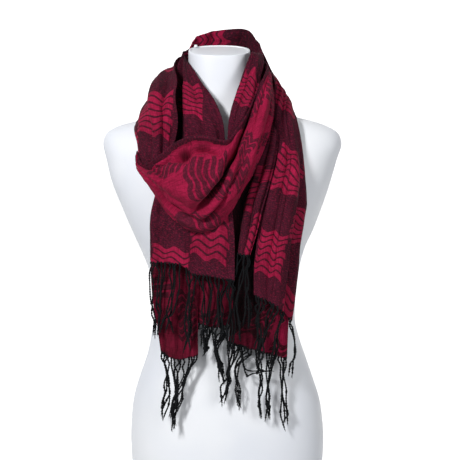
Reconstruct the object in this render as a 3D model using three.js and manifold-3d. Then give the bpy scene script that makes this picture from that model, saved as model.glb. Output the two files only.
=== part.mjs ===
// A fringed pashmina shawl looped once round the neck of a smooth, limbless dress form.
// Millimetres, +Z up, the front faces -Y. The origin is the centre of the form's flat base.
// The shawl is one long cloth, here one wall for each stretch that shows, with a fringe along each hem.
import * as THREE from 'three';
import { mergeVertices } from 'three/addons/utils/BufferGeometryUtils.js';
import Module from 'manifold-3d';

// Driving dimensions
const CLOTH = 1.6; // thickness of a cloth wall
const SEAM = 0.7; // gap at mid-cloth between two stretches, about 0.3 where the cloth bends
const STRAND_RADIUS = 1.35; // a twisted fringe strand
const STRAND_SIDES = 3;
const STRAND_STEPS = 5;
const FRINGE_LENGTH = 128; // from hem to tip
const STRIP_HEIGHT = 3; // the narrow strip that carries the strands
const STRIP_DROP = 0.1; // how far below the hem's line the strip starts
const STRIP_THICKNESS = 2;
const LAYER_SPACING = 3.6; // neighbouring strands hang in three layers this far apart
const FORM_SQUARENESS = 2.3; // exponent of the form's plan, where 2 is an ellipse
const FORM_SIDES = 40;

// The dress form, a row for each height: centre in x, half width, depth to the front and to the back,
// and slant, the rise for each millimetre towards the back (the neck's top leans forward).
const FORM_ROWS = [
  { height: 0, centre: 2, half: 152, front: 92, back: 98, slant: 0 },
  { height: 6, centre: 2, half: 156, front: 95, back: 101, slant: 0 },
  { height: 66, centre: 2, half: 160, front: 95, back: 106, slant: 0 },
  { height: 124, centre: 1, half: 156, front: 93, back: 108, slant: 0 },
  { height: 165, centre: 0, half: 145, front: 90, back: 100, slant: 0 },
  { height: 206, centre: 0, half: 131, front: 86, back: 88, slant: 0 },
  { height: 239, centre: -2, half: 122, front: 84, back: 78, slant: 0 },
  { height: 272, centre: -3, half: 117, front: 84, back: 72, slant: 0 },
  { height: 338, centre: -3, half: 122, front: 92, back: 76, slant: 0 },
  { height: 383, centre: -6, half: 136, front: 104, back: 86, slant: 0 },
  { height: 414, centre: -6, half: 150, front: 110, back: 94, slant: 0 },
  { height: 459, centre: -7, half: 168, front: 111, back: 100, slant: 0 },
  { height: 495, centre: -8, half: 181, front: 104, back: 102, slant: 0 },
  { height: 530, centre: -7, half: 190, front: 90, back: 98, slant: 0 },
  { height: 550, centre: -6, half: 196, front: 79, back: 92, slant: 0 },
  { height: 564, centre: -6, half: 195, front: 72, back: 86, slant: 0 },
  { height: 575, centre: -6, half: 188, front: 66, back: 80, slant: 0 },
  { height: 584, centre: -6, half: 172, front: 62, back: 76, slant: 0 },
  { height: 591, centre: -3, half: 150, front: 60, back: 73, slant: 0 },
  { height: 598, centre: -3, half: 122, front: 58, back: 70, slant: 0 },
  { height: 606, centre: -5, half: 99, front: 57, back: 67, slant: 0 },
  { height: 618, centre: -8, half: 79, front: 54, back: 62, slant: 0 },
  { height: 634, centre: -10, half: 65, front: 52, back: 56, slant: 0.02 },
  { height: 655, centre: -11, half: 55, front: 50, back: 52, slant: 0.05 },
  { height: 680, centre: -11, half: 51.5, front: 50, back: 50, slant: 0.09 },
  { height: 704, centre: -11, half: 51, front: 50, back: 50, slant: 0.112 },
  { height: 706, centre: -11, half: 49, front: 48, back: 48, slant: 0.112 },
];

// Each ribbon of cloth is a row of sections. A section runs from one long edge of the cloth, through
// its belly, to the other edge.

// The inner turn: up from the left hem over the chest, behind the neck, and down to the V.
const INNER_TURN = [
  { near: [14, -129, 345], belly: [-55, -127, 356], far: [-121, -121, 371] },
  { near: [14, -130, 407], belly: [-55, -131, 407], far: [-121, -121, 407] },
  { near: [11, -129, 449], belly: [-55, -131, 449], far: [-120, -121, 447] },
  { near: [7, -121, 503], belly: [-52, -121, 503], far: [-107, -107, 503] },
  { near: [-5, -106, 550], belly: [-50, -110, 550], far: [-97, -90, 549] },
  { near: [-13, -92, 595], belly: [-52, -103, 592], far: [-94, -78, 591] },
  { near: [-24, -80, 630], belly: [-56, -88, 627], far: [-90, -64, 625] },
  { near: [-38, -66, 655], belly: [-62, -69, 653], far: [-86, -49, 649] },
  { near: [-53, -46, 677], belly: [-68, -48, 675], far: [-80, -30, 673] },
  { near: [-62.4, -13, 690], belly: [-69, -13, 696], far: [-72, -9, 701] },
  { near: [-66, 22, 694], belly: [-66, 22, 702], far: [-64, 20, 709] },
  { near: [-49, 50, 696], belly: [-48, 52, 714], far: [-45, 50, 732] },
  { near: [-12, 60, 698], belly: [-10, 66, 719], far: [-8, 64, 741] },
  { near: [26, 53, 698], belly: [30, 60, 720], far: [34, 58, 741] },
  { near: [45, 18, 702], belly: [52, 20, 709], far: [57, 20, 714] },
  { near: [42, -34, 706], belly: [52, -33, 698], far: [61, -30, 688] },
  { near: [29, -62, 674], belly: [43, -69, 670], far: [55, -65, 661] },
  { near: [18, -78, 642], belly: [35, -89, 637], far: [50, -90, 628] },
  { near: [9, -91, 614], belly: [23, -104, 609], far: [36, -109, 600] },
  { near: [5, -102, 588], belly: [14, -115, 584], far: [22, -121, 577] },
  { near: [3, -112, 562], belly: [7, -122, 560], far: [10, -128, 555] },
];

// The outer turn: up from under the front loop over the left shoulder, round the back, over the right
// shoulder and down to the right hem.
const OUTER_TURN = [
  { near: [-88, -122, 518], belly: [-114, -108, 517], far: [-134, -84, 521] },
  { near: [-83, -107, 563], belly: [-112, -112, 560], far: [-142, -77, 556] },
  { near: [-80, -104, 598], belly: [-114, -114, 592], far: [-147, -70, 577] },
  { near: [-80, -93, 630], belly: [-118, -92, 622], far: [-148, -46, 586] },
  { near: [-76, -76, 657], belly: [-116, -61, 643], far: [-142, -22, 594] },
  { near: [-80, -44, 678], belly: [-109, -22, 659], far: [-132, 8, 600] },
  { near: [-78, 0, 692], belly: [-91, 20, 668], far: [-118, 40, 603] },
  { near: [-64, 34, 705], belly: [-76, 64, 664], far: [-96, 74, 594] },
  { near: [-40, 64, 728], belly: [-50, 98, 672], far: [-60, 88, 592] },
  { near: [0, 80, 738], belly: [0, 112, 670], far: [0, 90, 590] },
  { near: [34, 75, 741], belly: [50, 102, 674], far: [60, 88, 594] },
  { near: [50, 50, 721], belly: [69, 80, 668], far: [90, 75, 596] },
  { near: [66, 14, 689], belly: [82, 34, 651], far: [105, 42, 601] },
  { near: [84, -30, 652], belly: [101, -20, 636], far: [112, 8, 602] },
  { near: [79, -64, 612], belly: [99, -66, 605], far: [115, -54, 593] },
  { near: [79, -85, 569], belly: [103, -93, 565], far: [124, -73, 541] },
  { near: [78, -98, 535], belly: [106, -108, 530], far: [128, -82, 500] },
  { near: [68, -111, 497], belly: [101, -121, 492], far: [130, -86, 462] },
  { near: [57, -119, 450], belly: [93, -129, 445], far: [125, -89, 430] },
  { near: [50, -124, 405], belly: [86, -132, 402], far: [119, -90, 391] },
  { near: [45, -126, 363], belly: [82, -130, 358], far: [115, -94, 345] },
  { near: [45, -124, 319], belly: [77, -126, 303], far: [106, -97, 274] },
];

// The front loop: from the right of the neck down across the chest to a curl at the left.
const FRONT_LOOP = [
  { near: [63, 2, 690], belly: [68, 6, 672], far: [72, 8, 655] },
  { near: [66, -40, 682], belly: [73, -43, 660], far: [77, -38, 636] },
  { near: [58, -79, 662], belly: [70, -86, 634], far: [76, -78, 606] },
  { near: [46, -102, 634], belly: [61, -112, 604], far: [70, -100, 580] },
  { near: [31, -121, 605], belly: [49, -133, 574], far: [57, -114, 546] },
  { near: [16, -133, 583], belly: [34, -149, 545], far: [43, -126, 514] },
  { near: [3, -140, 568], belly: [19, -159, 522], far: [27, -130, 488] },
  { near: [-16, -144, 568], belly: [2, -168, 506], far: [9, -134, 455] },
  { near: [-35, -145, 573], belly: [-22, -174, 498], far: [-18, -136, 428] },
  { near: [-57, -142, 571], belly: [-52, -174, 490], far: [-49, -136, 422] },
  { near: [-78, -136, 561], belly: [-79, -166, 495], far: [-75, -134, 434] },
  { near: [-95, -126, 546], belly: [-101, -150, 498], far: [-99, -130, 458] },
  { near: [-112, -118, 533], belly: [-119, -136, 510], far: [-119, -120, 488] },
  { near: [-127, -104, 525], belly: [-134, -112, 518], far: [-133, -106, 507] },
  { near: [-139, -91, 532], belly: [-143, -96, 525], far: [-140, -98, 518] },
  { near: [-144, -82, 547], belly: [-145, -88, 540], far: [-143, -90, 534] },
];

// The gathered folds behind and between the two hanging ends.
const RIGHT_MIDDLE = [
  { near: [70, -87.4, 592], belly: [76, -93.4, 588], far: [82, -93.4, 580] },
  { near: [60, -97, 560], belly: [72, -105, 562], far: [82, -98, 560] },
  { near: [50, -105, 534], belly: [66, -114, 534], far: [79, -108, 534] },
  { near: [40, -113, 497], belly: [56, -124, 497], far: [70, -119, 497] },
  { near: [30, -119, 459], belly: [45, -130, 459], far: [59, -126, 459] },
  { near: [24, -121, 420], belly: [38, -132, 420], far: [50, -130, 421] },
  { near: [19, -121, 386], belly: [29, -130, 383], far: [39, -129, 384] },
];
const RIGHT_BACK = [
  { near: [22, -97, 560], belly: [50, -90, 562], far: [75, -79, 564] },
  { near: [24, -109.6, 500], belly: [62, -102.6, 500], far: [96, -90.6, 500] },
  { near: [24, -114.6, 424], belly: [70, -110.6, 424], far: [112, -91.6, 424] },
  { near: [18, -113, 358], belly: [62, -111, 358], far: [106, -86, 355] },
  { near: [10, -109, 293], belly: [56, -106, 290], far: [101, -86, 281] },
  { near: [4, -107, 241], belly: [50, -105, 226], far: [98, -88, 211] },
];
const LEFT_BACK = [
  { near: [-40, -113, 446], belly: [-80, -112, 446], far: [-117, -108, 446] },
  { near: [-42, -105, 370], belly: [-80, -105, 370], far: [-121, -103, 370] },
  { near: [-44, -108, 309], belly: [-80, -108, 309], far: [-118, -104, 309] },
  { near: [-45, -107, 266], belly: [-78, -107, 266], far: [-111, -103, 268] },
  { near: [-45, -106, 219], belly: [-78, -106, 212], far: [-105, -102, 224] },
];
const LEFT_MIDDLE = [
  { near: [22, -115, 500], belly: [-10, -115, 500], far: [-36, -115, 500] },
  { near: [22.6, -116, 447], belly: [-12, -116.6, 447], far: [-38, -115.4, 447] },
  { near: [18, -108.6, 371], belly: [-13, -110, 371], far: [-40.2, -107, 371] },
  { near: [10.6, -109, 309], belly: [-16, -110, 309], far: [-42.8, -108.4, 309] },
  { near: [6.4, -108, 272], belly: [-17, -110, 264], far: [-43.4, -108, 272] },
];

// The largest folds. A fold runs along its ribbon from one row to another, its centre moves across the
// cloth from start to end (0 is the near edge, 1 the far edge), width is a share of the cloth, and
// height is in millimetres, below zero for a trough.
const INNER_FOLDS = [
  { rows: [-1, 4], start: 0.16, end: 0.22, width: 0.09, height: 3 },
  { rows: [-1, 3.6], start: 0.42, end: 0.5, width: 0.1, height: -3 },
  { rows: [-1, 4], start: 0.74, end: 0.66, width: 0.1, height: 3.5 },
  { rows: [3.2, 7.6], start: 0.72, end: 0.6, width: 0.12, height: -5 },
];
const OUTER_FOLDS = [
  { rows: [0, 5.5], start: 0.3, end: 0.24, width: 0.1, height: -5 },
  { rows: [2.5, 8], start: 0.55, end: 0.5, width: 0.1, height: 4 },
  { rows: [6, 13], start: 0.28, end: 0.3, width: 0.09, height: -7 },
  { rows: [6.4, 12.6], start: 0.55, end: 0.52, width: 0.09, height: 6 },
  { rows: [6, 13.4], start: 0.78, end: 0.76, width: 0.08, height: -6 },
  { rows: [13, 22], start: 0.34, end: 0.3, width: 0.1, height: -4 },
  { rows: [14, 22], start: 0.62, end: 0.6, width: 0.11, height: 4 },
];
const LOOP_FOLDS = [
  { rows: [3.2, 9.2], start: 0.06, end: 0.76, width: 0.1, height: -15 },
  { rows: [0.8, 8], start: 0.24, end: 0.9, width: 0.1, height: 7 },
  { rows: [7, 11.2], start: 0.12, end: 0.2, width: 0.07, height: -7 },
  { rows: [7.6, 14], start: 0.7, end: 0.74, width: 0.09, height: 4 },
];
const HANGING_FOLDS = [
  { rows: [0.4, 6], start: 0.3, end: 0.26, width: 0.1, height: -4 },
  { rows: [0.4, 6], start: 0.66, end: 0.72, width: 0.12, height: 3.5 },
];

// The walls, each a stretch of a ribbon between two rows, with its grid's steps along and across.
const STRETCHES = [
  { name: 'left_tail_front', ribbon: INNER_TURN, rows: [0, 4], folds: INNER_FOLDS, along: 12, across: 14 },
  { name: 'left_neck_fold', ribbon: INNER_TURN, rows: [4, 9], folds: INNER_FOLDS, along: 12, across: 8 },
  { name: 'neck_back_band', ribbon: INNER_TURN, rows: [9, 15], folds: INNER_FOLDS, along: 20, across: 4 },
  { name: 'right_neck_fold', ribbon: INNER_TURN, rows: [15, 20], folds: INNER_FOLDS, along: 12, across: 4 },
  { name: 'left_shoulder_fold', ribbon: OUTER_TURN, rows: [0, 6], folds: OUTER_FOLDS, along: 14, across: 12 },
  { name: 'back_loop', ribbon: OUTER_TURN, rows: [6, 13], folds: OUTER_FOLDS, along: 20, across: 14 },
  { name: 'right_tail_front', ribbon: OUTER_TURN, rows: [13, 21], folds: OUTER_FOLDS, along: 18, across: 12 },
  { name: 'front_loop', ribbon: FRONT_LOOP, rows: [0, 15], folds: LOOP_FOLDS, along: 32, across: 16 },
  { name: 'right_tail_middle', ribbon: RIGHT_MIDDLE, rows: [0, 6], folds: [], along: 12, across: 6 },
  { name: 'right_tail_back', ribbon: RIGHT_BACK, rows: [0, 5], folds: HANGING_FOLDS, along: 14, across: 10 },
  { name: 'left_tail_back', ribbon: LEFT_BACK, rows: [0, 4], folds: HANGING_FOLDS, along: 8, across: 10 },
  { name: 'left_tail_middle', ribbon: LEFT_MIDDLE, rows: [0, 4], folds: HANGING_FOLDS, along: 10, across: 8 },
];

// The fringes, each along the hem of a stretch. hem is the ribbon's row, down says which way along the
// rows the strands leave, and clumps are places in x that they are drawn towards.
const FRINGES = [
  { name: 'fringe_left_front', ribbon: INNER_TURN, folds: INNER_FOLDS, hem: 0, down: -1, count: 24,
    clumps: [-112, -84, -52, -22, 6], pull: 0.45, drop: 1.05 },
  { name: 'fringe_left_back', ribbon: LEFT_BACK, folds: HANGING_FOLDS, hem: 4, down: 1, count: 12,
    clumps: [-84, -66], pull: 0.5, drop: 0.98 },
  { name: 'fringe_left_middle', ribbon: LEFT_MIDDLE, folds: HANGING_FOLDS, hem: 4, down: 1, count: 8,
    clumps: [-14], pull: 0.4, drop: 0.62 },
  { name: 'fringe_right_middle', ribbon: RIGHT_MIDDLE, folds: [], hem: 6, down: 1, count: 5,
    clumps: [22], pull: 0.1, drop: 1.0 },
  { name: 'fringe_right_front', ribbon: OUTER_TURN, folds: OUTER_FOLDS, hem: 21, down: 1, count: 12,
    clumps: [48, 72, 104], pull: 0.35, drop: 0.96 },
  { name: 'fringe_right_back', ribbon: RIGHT_BACK, folds: HANGING_FOLDS, hem: 5, down: 1, count: 18,
    clumps: [14, 34, 78], pull: 0.5, drop: 0.9 },
];

const WHITE_SHELL = new THREE.MeshStandardMaterial({ color: 0xeceef2, roughness: 0.45, metalness: 0 });
const WINE_CLOTH = new THREE.MeshStandardMaterial({ color: 0x7a1a36, roughness: 0.8, metalness: 0 });
const CRIMSON_CLOTH = new THREE.MeshStandardMaterial({ color: 0x9c1f40, roughness: 0.75, metalness: 0 });
const BLACK_YARN = new THREE.MeshStandardMaterial({ color: 0x15181a, roughness: 0.9, metalness: 0 });
const INSIDE_OUT = new Set(['front_loop', 'right_tail_back', 'left_tail_back', 'left_tail_middle']);

// A smooth curve through points at a place counted in points, straight on past both ends.
function through(points, place) {
  const last = points.length - 1;
  const first = Math.min(Math.max(Math.floor(place), 0), last - 1);
  const u = place - first;
  const a = points[first];
  const b = points[first + 1];
  const before = first > 0 ? points[first - 1] : a.map((v, k) => 2 * v - b[k]);
  const after = first + 2 <= last ? points[first + 2] : b.map((v, k) => 2 * v - a[k]);
  if (u < 0 || u > 1) {
    const end = u < 0 ? a : b;
    const slope = a.map((v, k) => (u < 0 ? (b[k] - before[k]) / 2 : (after[k] - v) / 2));
    return end.map((v, k) => v + slope[k] * (u < 0 ? u : u - 1));
  }
  return a.map((v, k) => v + 0.5 * u * (b[k] - before[k]
    + u * (2 * before[k] - 5 * v + 4 * b[k] - after[k]
    + u * (3 * (v - b[k]) + after[k] - before[k]))));
}

// A point of a ribbon with no folds: row counts its sections, across runs from 0 to 1.
function bare(ribbon, row, across) {
  const section = ['near', 'belly', 'far'].map((edge) => through(ribbon.map((r) => r[edge]), row));
  return new THREE.Vector3(...through(section, across * 2));
}

// The unit normal of a surface given as a function of two places.
function normalOf(surface, row, across) {
  const step = 0.01;
  const alongIt = surface(row + step, across).sub(surface(row - step, across));
  const acrossIt = surface(row, across + step).sub(surface(row, across - step));
  return alongIt.cross(acrossIt).normalize();
}

// How far the folds lift the cloth at a place.
function lift(folds, row, across) {
  let sum = 0;
  for (const fold of folds) {
    const share = (row - fold.rows[0]) / (fold.rows[1] - fold.rows[0]);
    if (share <= 0 || share >= 1) continue;
    const centre = THREE.MathUtils.lerp(fold.start, fold.end, share);
    const away = (across - centre) / fold.width;
    sum += fold.height * Math.sin(Math.PI * share) ** 0.7 * Math.exp(-away * away);
  }
  return sum;
}

// The middle surface of a ribbon, folds included. Its folds rise away from the body.
function draped(ribbon, folds, outward) {
  const surface = (row, across) => bare(ribbon, row, across);
  return (row, across) => {
    const raised = outward * lift(folds, row, across);
    return surface(row, across).addScaledVector(normalOf(surface, row, across), raised);
  };
}

// The share of a row that makes half a seam's gap where a stretch ends.
function seamShare(surface, row) {
  return SEAM / 2 / surface(row - 0.5, 0.5).distanceTo(surface(row + 0.5, 0.5));
}

// +1 where a ribbon's own normal points away from the body, and -1 where it points inwards.
const OUTWARD = new Map([
  [INNER_TURN, 1], [OUTER_TURN, 1], [FRONT_LOOP, 1],
  [RIGHT_MIDDLE, 1], [RIGHT_BACK, 1], [LEFT_BACK, -1], [LEFT_MIDDLE, -1],
]);

// A closed wall of even thickness round a middle surface, over a span of rows and of the cloth's width.
function wall(surface, rows, span, along, across, thickness) {
  const faces = [1, -1].map((side) => {
    const points = [];
    for (let i = 0; i <= along; i += 1) {
      for (let j = 0; j <= across; j += 1) {
        const row = THREE.MathUtils.lerp(rows[0], rows[1], i / along);
        const place = THREE.MathUtils.lerp(span[0], span[1], j / across);
        const normal = normalOf(surface, row, place);
        points.push(surface(row, place).addScaledVector(normal, (side * thickness) / 2));
      }
    }
    return points;
  });
  const width = across + 1;
  const count = faces[0].length;
  const index = [];
  const quad = (a, b, c, d) => index.push(a, b, c, a, c, d);
  for (let i = 0; i < along; i += 1) {
    for (let j = 0; j < across; j += 1) {
      const a = i * width + j;
      quad(a, a + width, a + width + 1, a + 1);
      quad(count + a, count + a + 1, count + a + width + 1, count + a + width);
    }
  }
  for (let i = 0; i < along; i += 1) {
    const a = i * width;
    const b = a + across;
    quad(a, count + a, count + a + width, a + width);
    quad(b, b + width, count + b + width, count + b);
  }
  for (let j = 0; j < across; j += 1) {
    const end = along * width + j;
    quad(j, j + 1, count + j + 1, count + j);
    quad(end, count + end, count + end + 1, end + 1);
  }
  return solidGeometry([...faces[0], ...faces[1]], index);
}

function solidGeometry(points, index) {
  const geometry = new THREE.BufferGeometry().setFromPoints(points);
  geometry.setIndex(index);
  geometry.computeVertexNormals();
  return geometry;
}

// The form's body: a ring of points for each row, closed by a fan at its base and at its top.
function formGeometry() {
  const points = [];
  for (const row of FORM_ROWS) {
    for (let k = 0; k < FORM_SIDES; k += 1) {
      const angle = (2 * Math.PI * k) / FORM_SIDES;
      const squared = (v) => Math.sign(v) * Math.abs(v) ** (2 / FORM_SQUARENESS);
      const x = row.centre + row.half * squared(Math.cos(angle));
      const y = (Math.sin(angle) < 0 ? row.front : row.back) * squared(Math.sin(angle));
      points.push(new THREE.Vector3(x, y, row.height + row.slant * y));
    }
  }
  const base = points.push(new THREE.Vector3(FORM_ROWS[0].centre, 0, FORM_ROWS[0].height)) - 1;
  const summit = FORM_ROWS.at(-1);
  const top = points.push(new THREE.Vector3(summit.centre, 0, summit.height)) - 1;
  const index = [];
  for (let i = 0; i < FORM_ROWS.length - 1; i += 1) {
    for (let k = 0; k < FORM_SIDES; k += 1) {
      const a = i * FORM_SIDES + k;
      const b = i * FORM_SIDES + ((k + 1) % FORM_SIDES);
      index.push(a, b, b + FORM_SIDES, a, b + FORM_SIDES, a + FORM_SIDES);
    }
  }
  const last = (FORM_ROWS.length - 1) * FORM_SIDES;
  for (let k = 0; k < FORM_SIDES; k += 1) {
    const next = (k + 1) % FORM_SIDES;
    index.push(base, next, k, top, last + k, last + next);
  }
  return solidGeometry(points, index);
}

// The line down the middle of one strand, which sways a little and leans towards its clump.
function strandLine(fringe, root, number) {
  const nearest = fringe.clumps.reduce((best, x) => (Math.abs(x - root.x) < Math.abs(best - root.x) ? x : best));
  const layer = ((number % 3) - 1) * LAYER_SPACING;
  const length = FRINGE_LENGTH * fringe.drop * (0.94 + 0.08 * Math.sin(2.4 * number));
  const line = [];
  for (let k = 0; k <= STRAND_STEPS; k += 1) {
    const share = k / STRAND_STEPS;
    const settled = Math.min(share * 4, 1);
    const sway = 2.2 * share * Math.sin(8 * share + 0.35 * number);
    const gathered = fringe.pull * Math.sin((Math.PI / 2) * Math.min(share * 1.35, 1));
    line.push(new THREE.Vector3(
      root.x + (nearest - root.x) * gathered + sway,
      root.y + layer * settled,
      root.z - length * share,
    ));
  }
  return line;
}

// A thin closed tube along a hanging line, its sections level.
function strandGeometry(line) {
  const points = [];
  line.forEach((centre) => {
    for (let k = 0; k < STRAND_SIDES; k += 1) {
      const angle = (2 * Math.PI * k) / STRAND_SIDES;
      points.push(new THREE.Vector3(
        centre.x + STRAND_RADIUS * Math.cos(angle),
        centre.y + STRAND_RADIUS * Math.sin(angle),
        centre.z,
      ));
    }
  });
  const index = [];
  for (let i = 0; i < line.length - 1; i += 1) {
    for (let k = 0; k < STRAND_SIDES; k += 1) {
      const a = i * STRAND_SIDES + k;
      const b = i * STRAND_SIDES + ((k + 1) % STRAND_SIDES);
      index.push(a, a + STRAND_SIDES, b + STRAND_SIDES, a, b + STRAND_SIDES, b);
    }
  }
  const end = points.length - STRAND_SIDES;
  for (let k = 1; k < STRAND_SIDES - 1; k += 1) {
    index.push(0, k, k + 1, end, end + k + 1, end + k);
  }
  return solidGeometry(points, index);
}

const wasm = await Module();
wasm.setup();

function solidOf(geometry) {
  const bareGeometry = new THREE.BufferGeometry().setAttribute('position', geometry.getAttribute('position'));
  bareGeometry.setIndex(geometry.index);
  const merged = mergeVertices(bareGeometry, 1e-3);
  return new wasm.Manifold(new wasm.Mesh({
    numProp: 3,
    vertProperties: merged.attributes.position.array,
    triVerts: new Uint32Array(merged.index.array),
  }));
}

function geometryOf(solid) {
  const mesh = solid.getMesh();
  const geometry = new THREE.BufferGeometry();
  geometry.setAttribute('position', new THREE.BufferAttribute(new Float32Array(mesh.vertProperties), 3));
  geometry.setIndex(new THREE.BufferAttribute(new Uint32Array(mesh.triVerts), 1));
  geometry.computeVertexNormals();
  return geometry;
}

// A fringe: a narrow strip just off the hem, with its strands fused into it.
function fringeGeometry(fringe) {
  const cloth = draped(fringe.ribbon, fringe.folds, OUTWARD.get(fringe.ribbon));
  const hemAt = (across) => cloth(fringe.hem, across);
  const below = (drop, across) => hemAt(across).add(new THREE.Vector3(0, 0, -drop));
  const strip = wall(below, [STRIP_DROP, STRIP_DROP + STRIP_HEIGHT], [0.02, 0.98],
    1, fringe.count, STRIP_THICKNESS);
  let solid = solidOf(strip);
  if (solid.volume() < 0) {
    const turned = strip.clone();
    turned.setIndex([...strip.index.array].reverse());
    solid = solidOf(turned);
  }
  for (let number = 0; number < fringe.count; number += 1) {
    const across = 0.02 + (0.96 * (number + 0.5)) / fringe.count;
    const root = below(STRIP_DROP + STRIP_HEIGHT / 2, across);
    solid = solid.add(solidOf(strandGeometry(strandLine(fringe, root, number))));
  }
  return geometryOf(solid);
}

const group = new THREE.Group();

function addMesh(name, geometry, material) {
  const mesh = new THREE.Mesh(geometry, material);
  mesh.name = name;
  group.add(mesh);
}

addMesh('dress_form', formGeometry(), WHITE_SHELL);
for (const stretch of STRETCHES) {
  const cloth = draped(stretch.ribbon, stretch.folds, OUTWARD.get(stretch.ribbon));
  const rows = [stretch.rows[0] + seamShare(cloth, stretch.rows[0]),
    stretch.rows[1] - seamShare(cloth, stretch.rows[1])];
  const geometry = wall(cloth, rows, [0, 1], stretch.along, stretch.across, CLOTH);
  addMesh(stretch.name, geometry, INSIDE_OUT.has(stretch.name) ? CRIMSON_CLOTH : WINE_CLOTH);
}
for (const fringe of FRINGES) addMesh(fringe.name, fringeGeometry(fringe), BLACK_YARN);

export default group;
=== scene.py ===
"""A fringed pashmina shawl, looped once round the neck of a smooth white dress form.

The shawl is a long cloth woven in two colours, a dark wine ground with blocks of crimson waves, and
the same in reverse on its other face. Sizes are in millimetres unless a name says otherwise, and a
piece's mesh is in metres. The front faces -Y.

The shawl is laid stretch by stretch as ribbons. A ribbon is a row of sections across the cloth, with
creases along and flutes across it, and its own coordinates on the cloth carry the weave.
"""

import logging
import math
from dataclasses import dataclass
from enum import Enum

import bmesh
import bpy
import numpy as np
from mathutils import Matrix, Vector

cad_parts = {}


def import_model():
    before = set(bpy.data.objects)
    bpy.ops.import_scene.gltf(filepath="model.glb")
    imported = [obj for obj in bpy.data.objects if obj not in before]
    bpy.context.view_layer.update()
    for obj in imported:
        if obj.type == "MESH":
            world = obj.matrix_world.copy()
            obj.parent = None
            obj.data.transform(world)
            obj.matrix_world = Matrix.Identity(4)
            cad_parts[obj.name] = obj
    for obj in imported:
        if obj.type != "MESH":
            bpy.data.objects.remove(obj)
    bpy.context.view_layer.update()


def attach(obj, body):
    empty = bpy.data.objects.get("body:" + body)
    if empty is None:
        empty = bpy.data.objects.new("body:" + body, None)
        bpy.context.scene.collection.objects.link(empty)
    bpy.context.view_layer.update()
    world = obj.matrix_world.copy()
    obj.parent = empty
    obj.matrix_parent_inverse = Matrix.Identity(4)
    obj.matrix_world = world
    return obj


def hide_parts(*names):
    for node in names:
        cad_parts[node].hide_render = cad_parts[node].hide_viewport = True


LOG = logging.getLogger("shawl")
MM = 0.001
BORDER = 200.0  # places across the cloth from this far below 0 up to 0 are its woven border
BARE = 400.0  # taken off a place across the cloth where the weave has no waves
PIXEL = (1.602, 1.608)  # how wide a column and how high a row of the photograph are at the strands
VIEW_CENTRE = (226.0, 230.0)  # the column that shows x 0, and the row that shows VIEW_HEIGHT
VIEW_HEIGHT = 422.5
Point = tuple[float, float, float]
Colour = tuple[float, float, float]


def from_screen(red: int, green: int, blue: int) -> Colour:
    """Turn a colour given as it looks on a screen, 0 to 255, into linear light.

    Args:
        red: Red, from 0 to 255.
        green: Green, from 0 to 255.
        blue: Blue, from 0 to 255.

    Returns:
        The three channels in linear light.
    """
    channels = []
    for value in (red, green, blue):
        share = value / 255
        channels.append(share / 12.92 if share <= 0.04045 else ((share + 0.055) / 1.055) ** 2.4)
    return channels[0], channels[1], channels[2]


class Face(Enum):
    """Which face of the woven cloth is turned outwards."""

    WINE = "wine ground with crimson waves"
    CRIMSON = "crimson ground with wine waves"


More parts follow.
